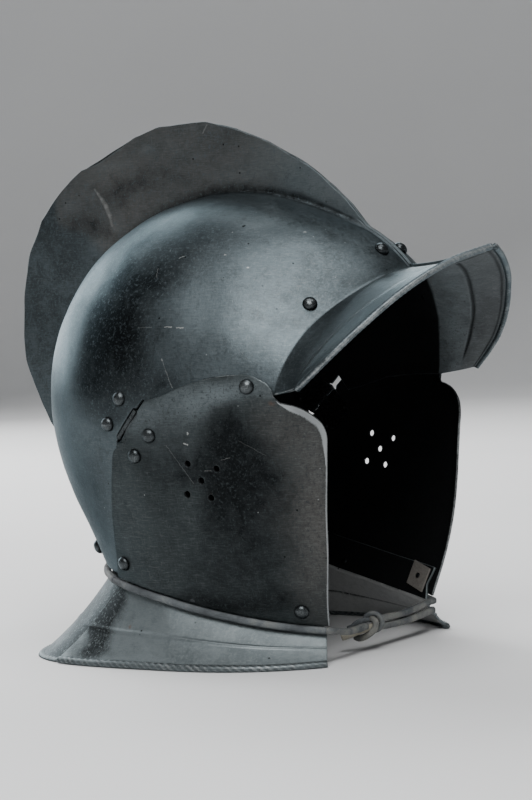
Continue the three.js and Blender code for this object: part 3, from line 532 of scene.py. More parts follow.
def steel(name, dark, light, worn=WORN, rough=0.4, metallic=0.9, bright=(), black=()):
    """Blackened steel. Noise in several sizes breaks up each layer, from the ground tone to the rust."""
    t = Tree(name)
    clouds = t.noise(t.place, 17, 4, 0.55, 0.6)
    mottle = t.noise(t.place, 110, 7, 0.68, 0.4)
    speck = t.noise(t.place, 620, 3, 0.75, 0.3)
    grain = t.noise(t.place, 1700, 3, 0.6)
    hairs = t.noise(t.stretched((420, 190, 1700), 0.3), 1, 4, 0.7, 0.7)
    cross = t.noise(t.stretched((500, 1500, 240), -0.5), 1, 4, 0.7, 0.9)
    warm = t.value("warm")

    tone = t.plus(t.times(clouds, 0.4), (mottle, 0.4), (speck, 0.2))
    base = t.mix(t.ramp(tone, 0.41, 0.59), dark, light)
    # Warm tint: a brown tone on the comb, and on the cheek a painted band of light along its front edge.
    base = t.mix(warm, base, WARM, t.ramp(tone, 0.36, 0.62, 0.35, 1))
    # Painted highlights: lighter teal steel where light falls.
    base = t.mix(t.value("painted_highlight"), base, HIGHLIGHT_TINT, t.ramp(tone, 0.4, 0.6, 0.35, 0.95))
    base = t.mix(t.ramp(hairs, 0.5, 0.7, 0, 0.13), base, worn)
    base = t.mix(t.ramp(hairs, 0.5, 0.32, 0, 0.28), base, dark)
    base = t.mix(t.ramp(cross, 0.55, 0.72, 0, 0.12), base, worn)

    # Dark stains, and painted shade laid on the same way.
    stain_and_shade = t.around(t.value("stain_and_shade"), (mottle, 1.5), (clouds, 0.8), (speck, 0.5), (grain, 0.35))
    stain_and_shade_share = t.ramp(stain_and_shade, 0.1, 0.95)
    base = t.mix(stain_and_shade_share, base, STAIN_AND_SHADE_TINT, 0.93)
    base = t.mix(t.ramp(speck, 0.53, 0.68, 0, 0.8), base, light)
    edge = t.ramp(t.around(t.value("wear"), (grain, 0.9), (mottle, 1.1)), 0.42, 0.95)
    base = t.mix(edge, base, worn)

    cells = t.cells(190.0)
    chance = t.add("ShaderNodeSeparateColor", {"Color": cells["Color"]}).outputs
    fleck = t.times(t.ramp(cells["Distance"], 0.09, 0.055), t.ramp(chance["Red"], 0.9, 0.93))
    pit = t.times(t.ramp(cells["Distance"], 0.14, 0.08), t.ramp(chance["Green"], 0.9, 0.93))
    base = t.mix(fleck, base, worn, 0.55)
    base = t.mix(pit, base, PITTED, 0.85)
    rusty = t.ramp(t.around(t.value("rust"), (mottle, 1.2)), 0.35, 0.8)
    base = t.mix(rusty, base, RUSTED, 0.85)
    base = draw_marks(t, base, black, bright)

    roughness = t.ramp(clouds, 0.3, 0.7, rough - 0.07, rough + 0.07)
    roughness = t.math("ADD", roughness, t.ramp(speck, 0.35, 0.65, -0.06, 0.06))
    roughness = t.plus(roughness, (stain_and_shade_share, 0.06), (warm, 0.1), (rusty, 0.3))
    metal = t.times(t.math("SUBTRACT", 1.0, rusty), metallic)
    metal = t.times(metal, t.ramp(edge, 0.0, 1.0, 1.0, 0.45))
    height = t.plus(t.times(hairs, 0.16), (mottle, 1.4), (speck, 0.6), (pit, -0.5))
    surface = {"Base Color": base, "Roughness": roughness, "Metallic": metal, "Specular Tint": SHEEN}
    return t.finished(surface, height, 0.3, 0.3 * MM)


def leather(name, dark, light, pale):
    t = Tree(name)
    clouds = t.noise(t.place, 60, 5, 0.6, 0.5)
    grain = t.noise(t.place, 1500, 4, 0.7)
    base = t.mix(t.ramp(clouds, 0.38, 0.62), dark, light)
    base = t.mix(t.ramp(t.around(t.value("wear"), (clouds, 1.2)), 0.4, 1.0), base, pale)
    base = t.mix(t.ramp(grain, 0.5, 0.3, 0, 0.5), base, dark)
    height = t.plus(t.times(grain, 0.6), (t.cells(1100.0)["Distance"], 0.5))
    roughness = t.ramp(grain, 0.3, 0.7, 0.62, 0.85)
    surface = {"Base Color": base, "Roughness": roughness, "Specular IOR Level": 0.35}
    return t.finished(surface, height, 0.6, 0.4 * MM)


# Marks of the near side, in the side view: start, end, half width and strength
SKULL_BRIGHT = [
    ((-11.6, 185.2), (-16.0, 185.3), 0.4, 0.8), ((-19.2, 184.9), (-22.8, 184.9), 0.4, 0.8),
    ((6, 184.6), (-3, 185.0), 0.25, 0.22), ((-12.4, 167.8), (-12.6, 167.2), 0.5, 0.5),
    ((-12.4, 167.8), (-15.4, 162), 0.28, 0.25), ((-15.4, 162), (-20.3, 152.4), 0.3, 0.32),
    ((-7.4, 222.4), (-9.8, 223.3), 0.35, 0.5), ((4.0, 216.5), (2.6, 211.8), 0.25, 0.3),
    ((-64, 236), (-64.6, 236), 0.4, 0.5), ((-33, 224), (-33.8, 224), 0.4, 0.4),
    # The five marks along the comb's dent, from (104.6, 262.5) down to (92.5, 240.6), are a painted highlight.
    ((-48, 217), (-48.6, 217), 0.4, 0.4), ((104.6, 262.5), (102.2, 259.8), 0.7, 0.16),
    ((102.2, 259.8), (99.4, 256.2), 1.1, 0.2), ((99.4, 256.2), (96.6, 252), 1.8, 0.2),
    ((96.6, 252), (94.2, 246.6), 1.9, 0.22), ((94.2, 246.6), (92.5, 240.6), 1.2, 0.18),
    ((24.1, 298.6), (27, 294), 0.6, 0.2)]
# The second dark mark is a painted shadow in the gap between the cheek's lobe and the bowl.
SKULL_BLACK = [((-33.3, 239.6), (-33.6, 239.6), 0.8, 1), ((-39, 157.4), (-44.5, 158.7), 0.4, 0.6)]
CHEEK_BRIGHT = [
    ((-26.4, 122.4), (-28.6, 121.7), 0.55, 0.6), ((-29.5, 128.2), (-29.3, 127.4), 0.55, 0.6),
    ((-15.3, 121.2), (-22, 111), 0.2, 0.14), ((-22, 111), (-29.7, 99.9), 0.25, 0.16),
    ((-58, 124.6), (-72, 116.4), 0.18, 0.12), ((-37, 107.4), (-40.7, 107.6), 0.25, 0.25),
    ((-47.2, 113.6), (-52.4, 115.2), 0.25, 0.2)]

OUTER = steel("steel_outer", (0.044, 0.054, 0.058), (0.088, 0.109, 0.119),
              bright=SKULL_BRIGHT, black=SKULL_BLACK)
# The cheekpieces' steel is painted darker than the skull's, as painted shade: dark reflections on them.
CHEEK_SHADED = steel("steel_cheek_shaded", (0.021, 0.0255, 0.0265), (0.038, 0.046, 0.048), rough=0.43, bright=CHEEK_BRIGHT)
# The neck plates' steel is lighter: partly a less patinated surface, partly painted light.
NECK_CLEANER_AND_LIT = steel("steel_neck_cleaner_and_lit", (0.115, 0.134, 0.14), (0.18, 0.206, 0.212), rough=0.48, metallic=0.72)
# Near-black inner faces: painted shade of the helmet's inside.
INNER_SHADE = steel("steel_inner_painted_shade", (0.002, 0.002, 0.0022), (0.006, 0.006, 0.0065), (0.04, 0.04, 0.04), 0.75, 0.3)
UNDER = steel("steel_under", (0.026, 0.027, 0.028), (0.052, 0.054, 0.055), rough=0.55, metallic=0.6)
# Pale inner side of the neck flares: painted light.
FLARE_IN_LIT = steel("steel_flare_in_painted_light", (0.36, 0.365, 0.365), (0.56, 0.565, 0.56), rough=0.6, metallic=0.2)
RIVET = steel("steel_rivet", (0.03, 0.034, 0.036), (0.075, 0.084, 0.088), rough=0.3)
WASHER = steel("steel_washer", (0.1, 0.085, 0.07), (0.26, 0.245, 0.225), rough=0.7, metallic=0.2)
LEATHER = leather("leather_lace", (0.045, 0.051, 0.056), (0.12, 0.133, 0.14), (0.25, 0.235, 0.19))


# Tubes
def tube(path, sizes, square=2.8, up=(0, 0, 1), sides=16):
    """Closed strip or cord along a path. sizes gives half width and half height, and square how boxy it is."""
    path = np.asarray(path, float)
    heading = unit(np.gradient(path, axis=0))
    across = unit(np.cross(heading, np.asarray(up, float) + np.zeros_like(path)))
    upward = unit(np.cross(across, heading))
    angle = np.linspace(0, 2 * math.pi, sides, endpoint=False)
    cx = np.sign(np.cos(angle)) * np.abs(np.cos(angle)) ** (2 / square)
    cy = np.sign(np.sin(angle)) * np.abs(np.sin(angle)) ** (2 / square)
    wide, high = (cx * sizes[0])[:, None], (cy * sizes[1])[:, None]
    rings = path[:, None] + across[:, None] * wide + upward[:, None] * high
    crown = min(sizes) * 0.25
    return closed_rings(rings, [path[0] - heading[0] * crown, path[-1] + heading[-1] * crown])


# Neck flare, by shares of the way round from its front end to the middle of the nape
# The starts are angles round the neck, and EMBOSS_DOWN is a share of the way from waist to foot.
WAIST_START = -43.0
BASE_START = -52.1
GORGET_END = 0.548
GORGET_FLANGE_END = 0.47
NAPE_START = 0.455
NAPE_FLANGE = 0.563
BASE_HALF_WIDTH = 105.0
BASE_FRONT = -115.8
BASE_REAR = 110.0
EMBOSS_DOWN = 0.54


def waist_point(share, lift):
    angle = np.radians(lerp(WAIST_START, 90.0, np.asarray(share, float)))
    y = np.zeros_like(angle)
    for _ in range(12):
        z = waist_height(y) + lift
        y = depth(z, angle < 0) * np.sin(angle)
    return np.stack([half_width(z) * np.cos(angle), y, z], axis=-1)


def base_point(share):
    angle = np.radians(lerp(BASE_START, 90.0, np.asarray(share, float)))
    power = 2 / np.where(angle < 0, 2.4, 3.3)
    x = BASE_HALF_WIDTH * np.maximum(0, np.cos(angle)) ** power
    y = np.where(angle < 0, BASE_FRONT, BASE_REAR) * np.abs(np.sin(angle)) ** power
    return np.stack([x, y, -(y + REST_REACH) * math.tan(TILT) + BASE_BEAD * 0.86], axis=-1)


def flare_point(share, down):
    share, down = np.broadcast_arrays(np.asarray(share, float), np.asarray(down, float))
    above = waist_point(share, np.maximum(0, -down) * FLANGE)
    base = base_point(share)
    bend = lerp(above, base, 0.43)
    bend[..., 2] = lerp(above[..., 2], base[..., 2], 0.6)
    t = np.clip(down, 0, 1)[..., None]
    curve = above * (1 - t) ** 2 + bend * 2 * t * (1 - t) + base * t * t
    return np.where(down[..., None] < 0, above, curve)


def lace_point(share):
    share = np.asarray(share, float)
    waist = waist_point(share, 0)
    normal = head_normal(waist[..., 1], waist[..., 2])
    normal[..., 2] = 0
    lift = LACE + SEAT * 2 - THICK * smoothstep(share, GORGET_END, 0.64)
    return waist + unit(normal) * lift[..., None] + np.array([0, 0, LACE * 0.4])


def lace_piece(name, path, sizes, wear, body, nodes=(), mirror=False, **kind):
    points, faces = tube(path, sizes, **kind)
    points = points + unit(np.ones_like(points)) * ripple(points, 9, 0.08, 5)[..., None]
    piece = add_mesh(name, stand(points), faces, [LEATHER], values={"wear": np.full(len(points), wear)},
                     mirror=mirror)
    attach(piece, body)
    if nodes:
        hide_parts(*nodes)
    return piece


# Front of the lace first: one strand from the right, the knot, and two strands on to the left
KNOT = np.array([-13.5, -90.5, 14.4])
KNOT_LENGTH = 11.0
STRAND_SAG = 1.6

# Loops of the knot: half width, half height, wear, and places across, up and toward the viewer of its front
KNOT_LOOPS = {
    "lace_knot": (1.35, 1.75, 0.45, [
        (-3.4, 1.6, -1.8), (-3.0, 4.6, -0.2), (-0.4, 6.6, 0.8), (2.6, 6.6, 1.4), (5.4, 4.4, 1.8),
        (6.3, 1.0, 1.8), (4.6, -2.0, 0.8), (1.8, -3.6, -1.4)]),
    "lace_knot_turn": (1.85, 1.5, 0.6, [
        (-2.2, 2.7, -2.0), (0.4, 3.6, 0.6), (2.6, 1.8, 2.6), (2.2, -1.6, 3.4), (-0.2, -4.4, 3.2),
        (-3.2, -6.6, 2.4), (-6.4, -7.8, 0.8), (-8.2, -7.4, -1.0)]),
    "lace_knot_end": (1.9, 1.6, 1.1, [
        (3.4, 0.2, -1.8), (0.2, -1.0, 1.0), (-3.6, -2.4, 3.2), (-8.4, -4.2, 4.0), (-12.6, -6.0, 3.8),
        (-16.2, -7.4, 3.2)]),
    "lace_knot_in": (1.7, 1.5, 0.15, [
        (-12.6, -2.8, -0.6), (-10.0, -1.4, 0.6), (-7.8, 0.9, 1.6), (-4.6, 2.3, 1.4), (-0.6, 3.0, -0.4),
        (3.0, 3.2, -2.0)]),
}


def front_strand(corner, heading, to_knot):
    start = corner + heading * SEAT
    bend = start + heading * LACE
    run = to_knot - bend
    return [start, bend, bend + run * 0.07, bend + run * 0.5 - np.array([0, 0, STRAND_SAG]), to_knot]


def knot_pieces():
    made = []
    axes = np.array([view_right, view_up, view_near])
    for name, (wide, high, wear, places) in KNOT_LOOPS.items():
        path = curve_points(np.array(places) @ axes + KNOT, np.linspace(0, 1, 41))
        nodes = ("lace_knot",) if name == "lace_knot" else ()
        made.append(lace_piece(name, path, (wide, high), wear, "cheekpiece_left", nodes, up=view_near))
    return made


def front_strands():
    """Name, body and route of the strands across the face opening."""
    corner = lace_point(0.0)
    heading = unit(corner - lace_point(0.003))
    beside = np.array([KNOT_LENGTH / 2 + SEAT, 0, 0])
    drop = np.array([0, 0, LACE + SEAT / 2])
    right = front_strand(corner * FLIP, heading * FLIP, KNOT - beside)
    upper = front_strand(corner, heading, KNOT + beside + drop)
    lower = [p - drop * 2 - np.array([0, LACE * (2 - i) / 2, 0]) for i, p in enumerate(upper[2:])]
    return [("lace_front_right", "cheekpiece_right", right), ("lace_front_upper", "cheekpiece_left", upper),
            ("lace_front_lower", "cheekpiece_left", lower)]


knots = knot_pieces()
for name, body, route in front_strands():
    path = curve_points(route, np.linspace(0, 1, 61))
    piece = lace_piece(name, path, (LACE, LACE * 0.92), 0.5, body, (name,), sides=20)
    centre = stand(path)


# Skull halves. A station has an angle round the crown, a place on the edge, and the columns up to the next.
STATIONS = [
    (147, side_place(-0.77, 1.04), 30), (126, side_place(-0.6, 1.035), 20),
    (111, side_place(-0.365, 1.015), 14), (100, side_place(-0.17, 0.97), 7),
    (95, side_place(-0.085, 0.955), 6), (91, slot_place(-SLOT_HALF, 0), 5),
    (86, slot_place(-SLOT_HALF, SLOT_SKULL_SIDE), 64), (30, slot_place(SLOT_HALF, SLOT_SKULL_SIDE), 20),
    (12, side_place(0.197, 0.8), 16), (-4, side_place(0.173, 0.722), 12), (-17, side_place(0.192, 0.625), 10),
    (-29, side_place(0.217, 0.528), 12), (-40, side_place(0.242, 0.431), 5), (-43, side_place(0.328, 0.39), 4),
    (-46.5, side_place(0.34, 0.335), 4), (-49.4, side_place(0.365, 0.297), 0)]
SLOT_START_ANGLE = 91
SKULL_SLOT_ROOM = 1.7
COMB_ROWS = 40
FILLET_ROWS = 7
FIRST_BOWL_ROW = COMB_ROWS + FILLET_ROWS - 1
BOWL_ROWS = 112
PEAK_COLUMNS = 44
COMB_FACE = COMB_GAP / 2 + THICK
MEETING = 0.02
rim_xs = np.array([0.3, 0.563, 0.76, 0.901, 0.968]) * HALF_WIDTH
rim_ys = -np.array([0.942, 0.875, 0.802, 0.717, 0.61]) * PEAK_REACH
rim_zs = np.array([0.968, 0.91, 0.839, 0.7625, 0.683]) * PEAK_TIP
rim_tip = [COMB_FACE + RIDGE, -PEAK_REACH, PEAK_TIP]
rim_places = np.vstack([rim_tip, np.stack([rim_xs, rim_ys, rim_zs], axis=-1)])


def skull_columns():
    """Angle, place on the edge and bow of each column of comb and bowl."""
    degrees, edges, bows = [], [], []
    for s, (angle, edge, steps) in enumerate(STATIONS[:-1]):
        next_angle, next_edge, _ = STATIONS[s + 1]
        for share in np.arange(steps) / steps:
            degrees.append(lerp(angle, next_angle, share))
            edges.append(lerp(edge, next_edge, share))
            bows.append(CREASE_BOW * max(0, 1 - (s + share) / 2))
    angles = np.array(degrees + [STATIONS[-1][0]], float)
    edges = np.array(edges + [STATIONS[-1][1]])
    at_slot = smoothstep(SLOT_START_ANGLE - angles, 0, 5) * smoothstep(angles, 12, 30)
    edges = edges - SLOT_ACROSS * (SKULL_SLOT_ROOM * past_knuckles(edges) * at_slot)[:, None]
    return angles, edges, np.array(bows + [0])


COMB_CORNERS = np.array([27, 34.4, 39.5, 44.9, 48.4, 62.9, 69, 80.5, 88, 97, 106])
LIP_START = 48.5
LIP_RUN = 14.5
LIP_DEPTH = 1.9


def comb_rise(degrees, side):
    """Comb height, with the flats of its hammered edge and the lip where its two layers part."""
    rise = np.maximum(RIDGE, COMB_HEIGHT * comb_share(degrees))
    root_y, root_z = middle_outline(degrees)
    root = np.hypot(root_y, root_z - WIDEST)
    corner_y, corner_z = middle_outline(COMB_CORNERS)
    reach = np.hypot(corner_y, corner_z - WIDEST) + COMB_HEIGHT * comb_share(COMB_CORNERS)
    turn = np.radians(COMB_CORNERS)
    here = np.radians(degrees)
    for a in range(len(turn) - 1):
        start, end = 1 / reach[a], 1 / reach[a + 1]
        span = math.sin(turn[a + 1] - turn[a])
        straight = span / (start * np.sin(turn[a + 1] - here) + end * np.sin(here - turn[a]))
        inside = (degrees > COMB_CORNERS[a]) & (degrees <= COMB_CORNERS[a + 1])
        rise = np.where(inside, straight - root, rise)
    along = np.stack([degrees, 0 * degrees, 0 * degrees], axis=-1)
    rise = rise + ripple(along, 5, 0.16, 12 if side == "left" else 13) * (rise > RIDGE * 3)
    if side == "right":
        lip = np.clip(np.sin((degrees - LIP_START) / LIP_RUN * math.pi), 0, 1)
        rise = rise - LIP_DEPTH * lip * (degrees < LIP_START + LIP_RUN)
    return rise


def comb_rows(top, outward, rise, fillet):
    """Rows from the comb's edge down to the bowl. A column has a root, an outward direction and a height."""
    up = fillet[:, None] + (rise - fillet)[:, None] * (1 - np.linspace(0, 1, COMB_ROWS))
    turn = np.linspace(0, math.pi / 2, FILLET_ROWS + 1)[1:-1]
    ups = np.concatenate([up, fillet[:, None] * (1 - np.sin(turn))], axis=1)
    points = top[:, None] + outward[:, None] * ups[..., None]
    points[..., 0] = COMB_FACE
    points[:, COMB_ROWS:, 0] += fillet[:, None] * (1 - np.cos(turn))
    return points


def skull_grid(side):
    """Columns of the peak and then of comb and bowl, each from the middle down to the edge."""
    degrees, edges, bows = skull_columns()
    root_y, root_z = middle_outline(degrees)
    top = np.stack([np.zeros_like(root_y), root_y, root_z], axis=-1)
    run = top - edges
    aside = unit(np.stack([np.zeros_like(root_y), run[:, 2], -run[:, 1]], axis=-1))
    rise = comb_rise(degrees, side)
    fillet = np.minimum(FILLET, rise * 0.6)

    def place(share):
        spot = edges + run * share[..., None] + aside * (bows * 4 * share * (1 - share))[..., None]
        return on_head(spot[..., 1], spot[..., 2])

    low, high = np.zeros(len(degrees)), np.ones(len(degrees))
    for _ in range(40):
        middle = (low + high) / 2
        outside = place(middle)[..., 0] > COMB_FACE + fillet
        low, high = np.where(outside, middle, low), np.where(outside, high, middle)
    rows = [place(low * math.cos(k / BOWL_ROWS * math.pi / 2)) for k in range(BOWL_ROWS + 1)]
    bowl = np.stack(rows, axis=1)
    comb = comb_rows(top, unit(top - np.array([0, 0, WIDEST])), rise, fillet)
    return np.concatenate([peak_columns(bowl[0]), np.concatenate([comb, bowl], axis=1)], axis=0)


def peak_columns(crease):
    """Columns of the peak, from its rim in to the crease."""
    run = run_along(crease)
    rim = curve_points(rim_places, run / run[-1])
    sink = unit(np.cross(rim - crease, np.gradient(crease, axis=0))) * PEAK_HOLLOW
    if sink[0][2] > 0:
        sink = -sink
    inset = 1 - PEAK_BEAD / np.linalg.norm(rim - crease, axis=1)
    up = unit(-sink[0] * FLAT)[None]
    ridge = np.array([RIDGE])
    columns = []
    for c in range(PEAK_COLUMNS):
        share = inset * (1 - c / PEAK_COLUMNS)
        rows = crease + (rim - crease) * share[:, None] + sink * (4 * share * (1 - share))[:, None]
        columns.append(np.concatenate([comb_rows((rows[0] * FLAT)[None], up, ridge, ridge * 0.6)[0], rows]))
    return np.stack(columns)


# The dent's line in the side view
DENT = np.array([(104.6, 262.5), (99.9, 256.8), (95.4, 249.6), (92.3, 240.0)])
GROOVE_SHARE = 0.54

# Soft spots of the side view: y, z, half length, half height and strength
# The first two skull spots paint a dark reflection over the middle of the bowl: painted shade.
SKULL_STAINS_AND_SHADE = [
    (31, 184, 27, 46, 1.12), (12, 216, 32, 18, 0.85), (-24, 234, 30, 10, 0.45), (116, 244, 18, 13, 0.6),
    (82, 258, 26, 9, 0.5), (50, 270, 30, 7, 0.4), (2, 150, 22, 12, 0.55), (124, 222, 8, 12, 0.35),
    (82, 62, 16, 34, 0.7), (56, 78, 22, 26, 0.6), (6, 296, 16, 6, 0.35)]
# Painted highlights on the bowl and the comb.
SKULL_HIGHLIGHTS = [(-36, 176, 22, 26, 0.12), (-118, 222, 16, 8, 0.5), (-50, 248, 44, 6, 0.4)]
COMB_HIGHLIGHTS = [
    (69, 286.5, 7, 4.5, 0.6), (124, 259, 8, 6, 0.4), (40, 292, 20, 4, 0.25), (94, 277, 12, 3.5, 0.3),
    (113, 229, 12, 12, 0.22), (-4, 272, 22, 12, 0.3)]

# Round the bead of the peak's rim, from the upper side to the lower one
RIM_WEAR = [0.1, 0.1, 0.15, 0.4, 0.78, 0.45, 0.45, 0.4, 0.2]
# The stain is strongest at both sides of the bead, where it meets the plate: painted shade in those junctions.
RIM_STAIN_AND_SHADE = [1.0, 0.7, 0.45, 0.15, 0, 0.1, 0.3, 0.45, 0.9]


def comb_bend(points):
    """Sideways shift of both comb layers: a shallow warp and the dent pushed through from the far side."""
    flat = points[..., 1:]
    gap = np.full(flat.shape[:-1], 1e3)
    for start, end in zip(DENT[:-1], DENT[1:]):
        run = end - start
        t = np.clip((flat - start) @ run / (run @ run), 0, 1)
        gap = np.minimum(gap, np.linalg.norm(flat - start - t[..., None] * run, axis=-1))
    return ripple(points * FLAT, 70, 0.45, 21) + 1.1 * bell(gap, 2.2)


def skull_half(side):
    grid = skull_grid(side)
    columns, rows = grid.shape[:2]
    count = columns * rows
    away = unit(grid - np.array([0, 0, WIDEST]))
    grid = grid + away * (ripple(grid, 46, 0.22, 3) + ripple(grid, 17, 0.045, 4))[..., None]
    grid[..., 0] = np.maximum(grid[..., 0], COMB_FACE)
    i, k = np.meshgrid(np.arange(columns), np.arange(rows), indexing="ij")
    from_side = rows - 1 - k
    on_peak = i < PEAK_COLUMNS
    peak_face = on_peak & (k > FIRST_BOWL_ROW)
    share = 1 - i / PEAK_COLUMNS
    groove_gap = (share - GROOVE_SHARE) * PEAK_COLUMNS
    groove_end = smoothstep(from_side, 5, 14)
    groove = bell(groove_gap, 0.9) * (k > FIRST_BOWL_ROW + 6) * groove_end

    def bead(i, k):
        return np.where((i == 0) & (k >= FIRST_BOWL_ROW), PEAK_BEAD, 0.0)

    def rope(run, angle):
        return 0.06 * np.cos(2 * math.pi * run / PEAK_ROPE + 2 * angle)

    normals = grid_normals(grid, (1, 0, 0))
    points, faces, kinds, border, strands = plate(grid, normals, 0.0, -THICK, 0.45 * groove, bead, rope)
    points[:, 0] = np.maximum(points[:, 0], COMB_GAP / 2)
    points[count + np.flatnonzero(k.ravel() < COMB_ROWS), 0] = COMB_GAP / 2
    high = np.clip(1 - k / (FIRST_BOWL_ROW - 1.0), 0, 1) * ~on_peak
    share_up = per_point(high, high, border)
    # The halves meet at the foot of the comb and along the peak, so that no light falls through.
    closed = (1 - smoothstep(share_up, 0.1, 0.5)) * (1 - smoothstep(points[:, 0], 0.2, 3))
    points[:, 0] -= (COMB_GAP / 2 - MEETING) * closed
    points[:, 0] += comb_bend(points) * smoothstep(share_up, 0, 0.3) * (1 if side == "right" else -1)
    column_of = (faces.max(axis=1) % count) // rows
    under = (column_of < PEAK_COLUMNS) & (faces.min(axis=1) >= count)
    slots = np.where(kinds == LOWER, np.where(under, 2, 1), 0)

    # Bright wear, and a painted highlight along the middle of the peak
    on_comb = border[1] == 0
    on_rim = ((border[0] == 0) & (border[1] >= FIRST_BOWL_ROW))[:, None]
    rim = np.exp(-i / 1.1) * (k >= FIRST_BOWL_ROW)
    comb_edge = 0.16 * np.exp(-k / 0.8) * ~on_peak
    peak_side = 0.7 * np.exp(-from_side) * on_peak
    # Lighter along the middle of the peak: a painted highlight.
    centre = 0.55 * (1 - smoothstep(grid[..., 0], 6, 44)) * peak_face
    wear = np.maximum.reduce([comb_edge, 0.3 * rim, peak_side, 0.55 * groove, centre])
    wear_rings = np.where(on_rim, np.array(RIM_WEAR) + strands, np.where(on_comb, 0.22, 0.4)[:, None])

    # Dark stain, and painted shade: along the peak's crease, in the root of the comb, and under the peak where
    # its bead meets it
    aside = smoothstep(grid[..., 0], 20, 80)
    # Painted shade on the peak beside its crease.
    crease_side = 0.35 * (1 - 0.45 * smoothstep(share, 0.1, 0.9)) * on_peak * aside
    # Painted shade in the root of the comb; beside it the bowl is darker toward the rear.
    comb_root = 0.8 * bell(k - FIRST_BOWL_ROW + 5, 6.0) * ~on_peak
    beside_root = 0.55 * (1 - smoothstep(grid[..., 0], 20, 36)) * (k >= FIRST_BOWL_ROW - 2) * ~on_peak
    beside_root = beside_root * smoothstep(grid[..., 1], -50, 10)
    stain_and_shade_up = np.maximum.reduce([spots(grid, SKULL_STAINS_AND_SHADE), crease_side, comb_root, beside_root])
    groove_under = 1.5 * bell(groove_gap, 1.1) * (groove > 0.001) * groove_end
    # Under the peak: darker along the groove, and painted shade where the bead meets the plate.
    stain_and_shade_low = np.maximum(groove_under, 1.2 * bell(i - 2.0, 0.9) * on_peak)
    stain_and_shade_rings = np.where(on_rim, np.array(RIM_STAIN_AND_SHADE), np.where(on_comb, 0.45, 0.2)[:, None])

    # Brown stretches, and painted highlights on the bowl, the comb's front, the middle of the peak and under
    # the peak, most toward its crease
    turn = np.degrees(np.arctan2(grid[..., 2] - WIDEST, grid[..., 1])) + ripple(grid, 40, 5, 31)
    warm = smoothstep(turn, 36, 41) * (1 - smoothstep(turn, 78, 126)) * smoothstep(high, 0.0, 0.12)
    comb_front = smoothstep(-grid[..., 1], -8, 62) * smoothstep(high, 0.02, 0.12)
    comb_front = np.clip(comb_front + spots(grid, COMB_HIGHLIGHTS) * (high > 0), 0, 1)
    highlight_share = np.maximum.reduce([spots(grid, SKULL_HIGHLIGHTS), 0.75 * comb_front, 0.95 * (1 - aside) * peak_face])
    highlight_share_low = on_peak * (1.1 - 0.9 * smoothstep(share, 0.2, 0.75))
    piece = add_mesh(f"skull_{side}", stand(points), faces.tolist(), [OUTER, INNER_SHADE, UNDER], slots, {
        "wear": per_point(wear, 0.25 * rim, border, wear_rings),
        "stain_and_shade": per_point(stain_and_shade_up, stain_and_shade_low, border, stain_and_shade_rings),
        "warm": per_point(warm, 0, border),
        "painted_highlight": per_point(highlight_share, highlight_share_low, border, np.repeat(0.6 * highlight_share[border], RINGS)),
    }, mirror=side == "right")
    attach(piece, "skull")
    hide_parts(f"skull_{side}")
    return piece


# Cheekpieces
CHEEK_CORNER = (-0.955, 0.948)
CHEEK_FRONT = [(-0.953, 0.415), (-0.972, 0.6), (-0.988, 0.82), (-0.99, 0.885), (-0.975, 0.928), CHEEK_CORNER]
CHEEK_TOP = [
    (-0.15, 1.028), (-0.237, 1.055), (-0.365, 1.083), (-0.477, 1.101), (-0.57, 1.107), (-0.645, 1.105),
    (-0.7, 1.088), (-0.735, 1.074), (-0.761, 1.052), (-0.769, 1.03), (-0.79, 1.008), (-0.833, 1),
    (-0.878, 0.989), (-0.92, 0.971), CHEEK_CORNER]
CHEEK_REAR = [(0.33, 0.365), (0.323, 0.42), (0.3, 0.541), (0.275, 0.63), (0.252, 0.719), (0.215, 0.81)]
CHEEK_REAR_FOOT = 0.355
CHEEK_FRONT_FOOT = -0.89
CHEEK_FRONT_ROWS = [0, 0.12, 0.24, 0.37, 0.5, 0.62, 0.73, 0.82, 0.9, 0.96, 1]
CHEEK_ACROSS = np.concatenate([np.linspace(0, 0.93, 100), np.linspace(0.93, 1, 20)[1:]])
CHEEK_REAR_STEPS = 91
CHEEK_SLOT_STEPS = 39
CHEEK_SLOT_ROOM = 1.2
CHEEK_RUN = 118
CHEEK_RISE = 120
EDGE_TURN = 1.2
EDGE_RUN = 4.4
NOTCH_Y = -79
BAND_LEAST = 0.1
BAND_MORE = 3.1
BROWN_CORNER = np.array([-76.5, 145.6])
HEARING = [(-0.429, 0.758), (-0.382, 0.645), (-0.266, 0.774), (-0.244, 0.655), (-0.335, 0.71)]
HEARING_RADIUS = 1.9
# Painted shade: dark reflections on the cheek.
CHEEK_PAINTED_SHADE = [
    (-56, 96, 24, 40, 1.0), (-40, 122, 38, 16, 0.6), (-46, 56, 34, 24, 0.45), (-20, 118, 26, 16, 0.4),
    (-34, 36, 48, 8, 0.85), (-8, 96, 14, 30, 0.3)]
# Painted highlights on the cheek, most along the top of its lobe.
CHEEK_HIGHLIGHTS = [
    (-50, 152.5, 30, 8, 1.0), (-20, 144, 22, 9, 0.75), (-14, 126, 16, 12, 0.3), (16, 78, 14, 40, 0.1)]
# Painted band of light along the cheek's front edge, in the warm tint.
CHEEK_LIT_BAND = [(-90, 84, 17, 66, 1.0)]
turn_by_row = smooth_table([0, 0.35, 0.5, 0.7, 0.87, 1], [0.15, 0.35, 0.7, 1, 1, 1])


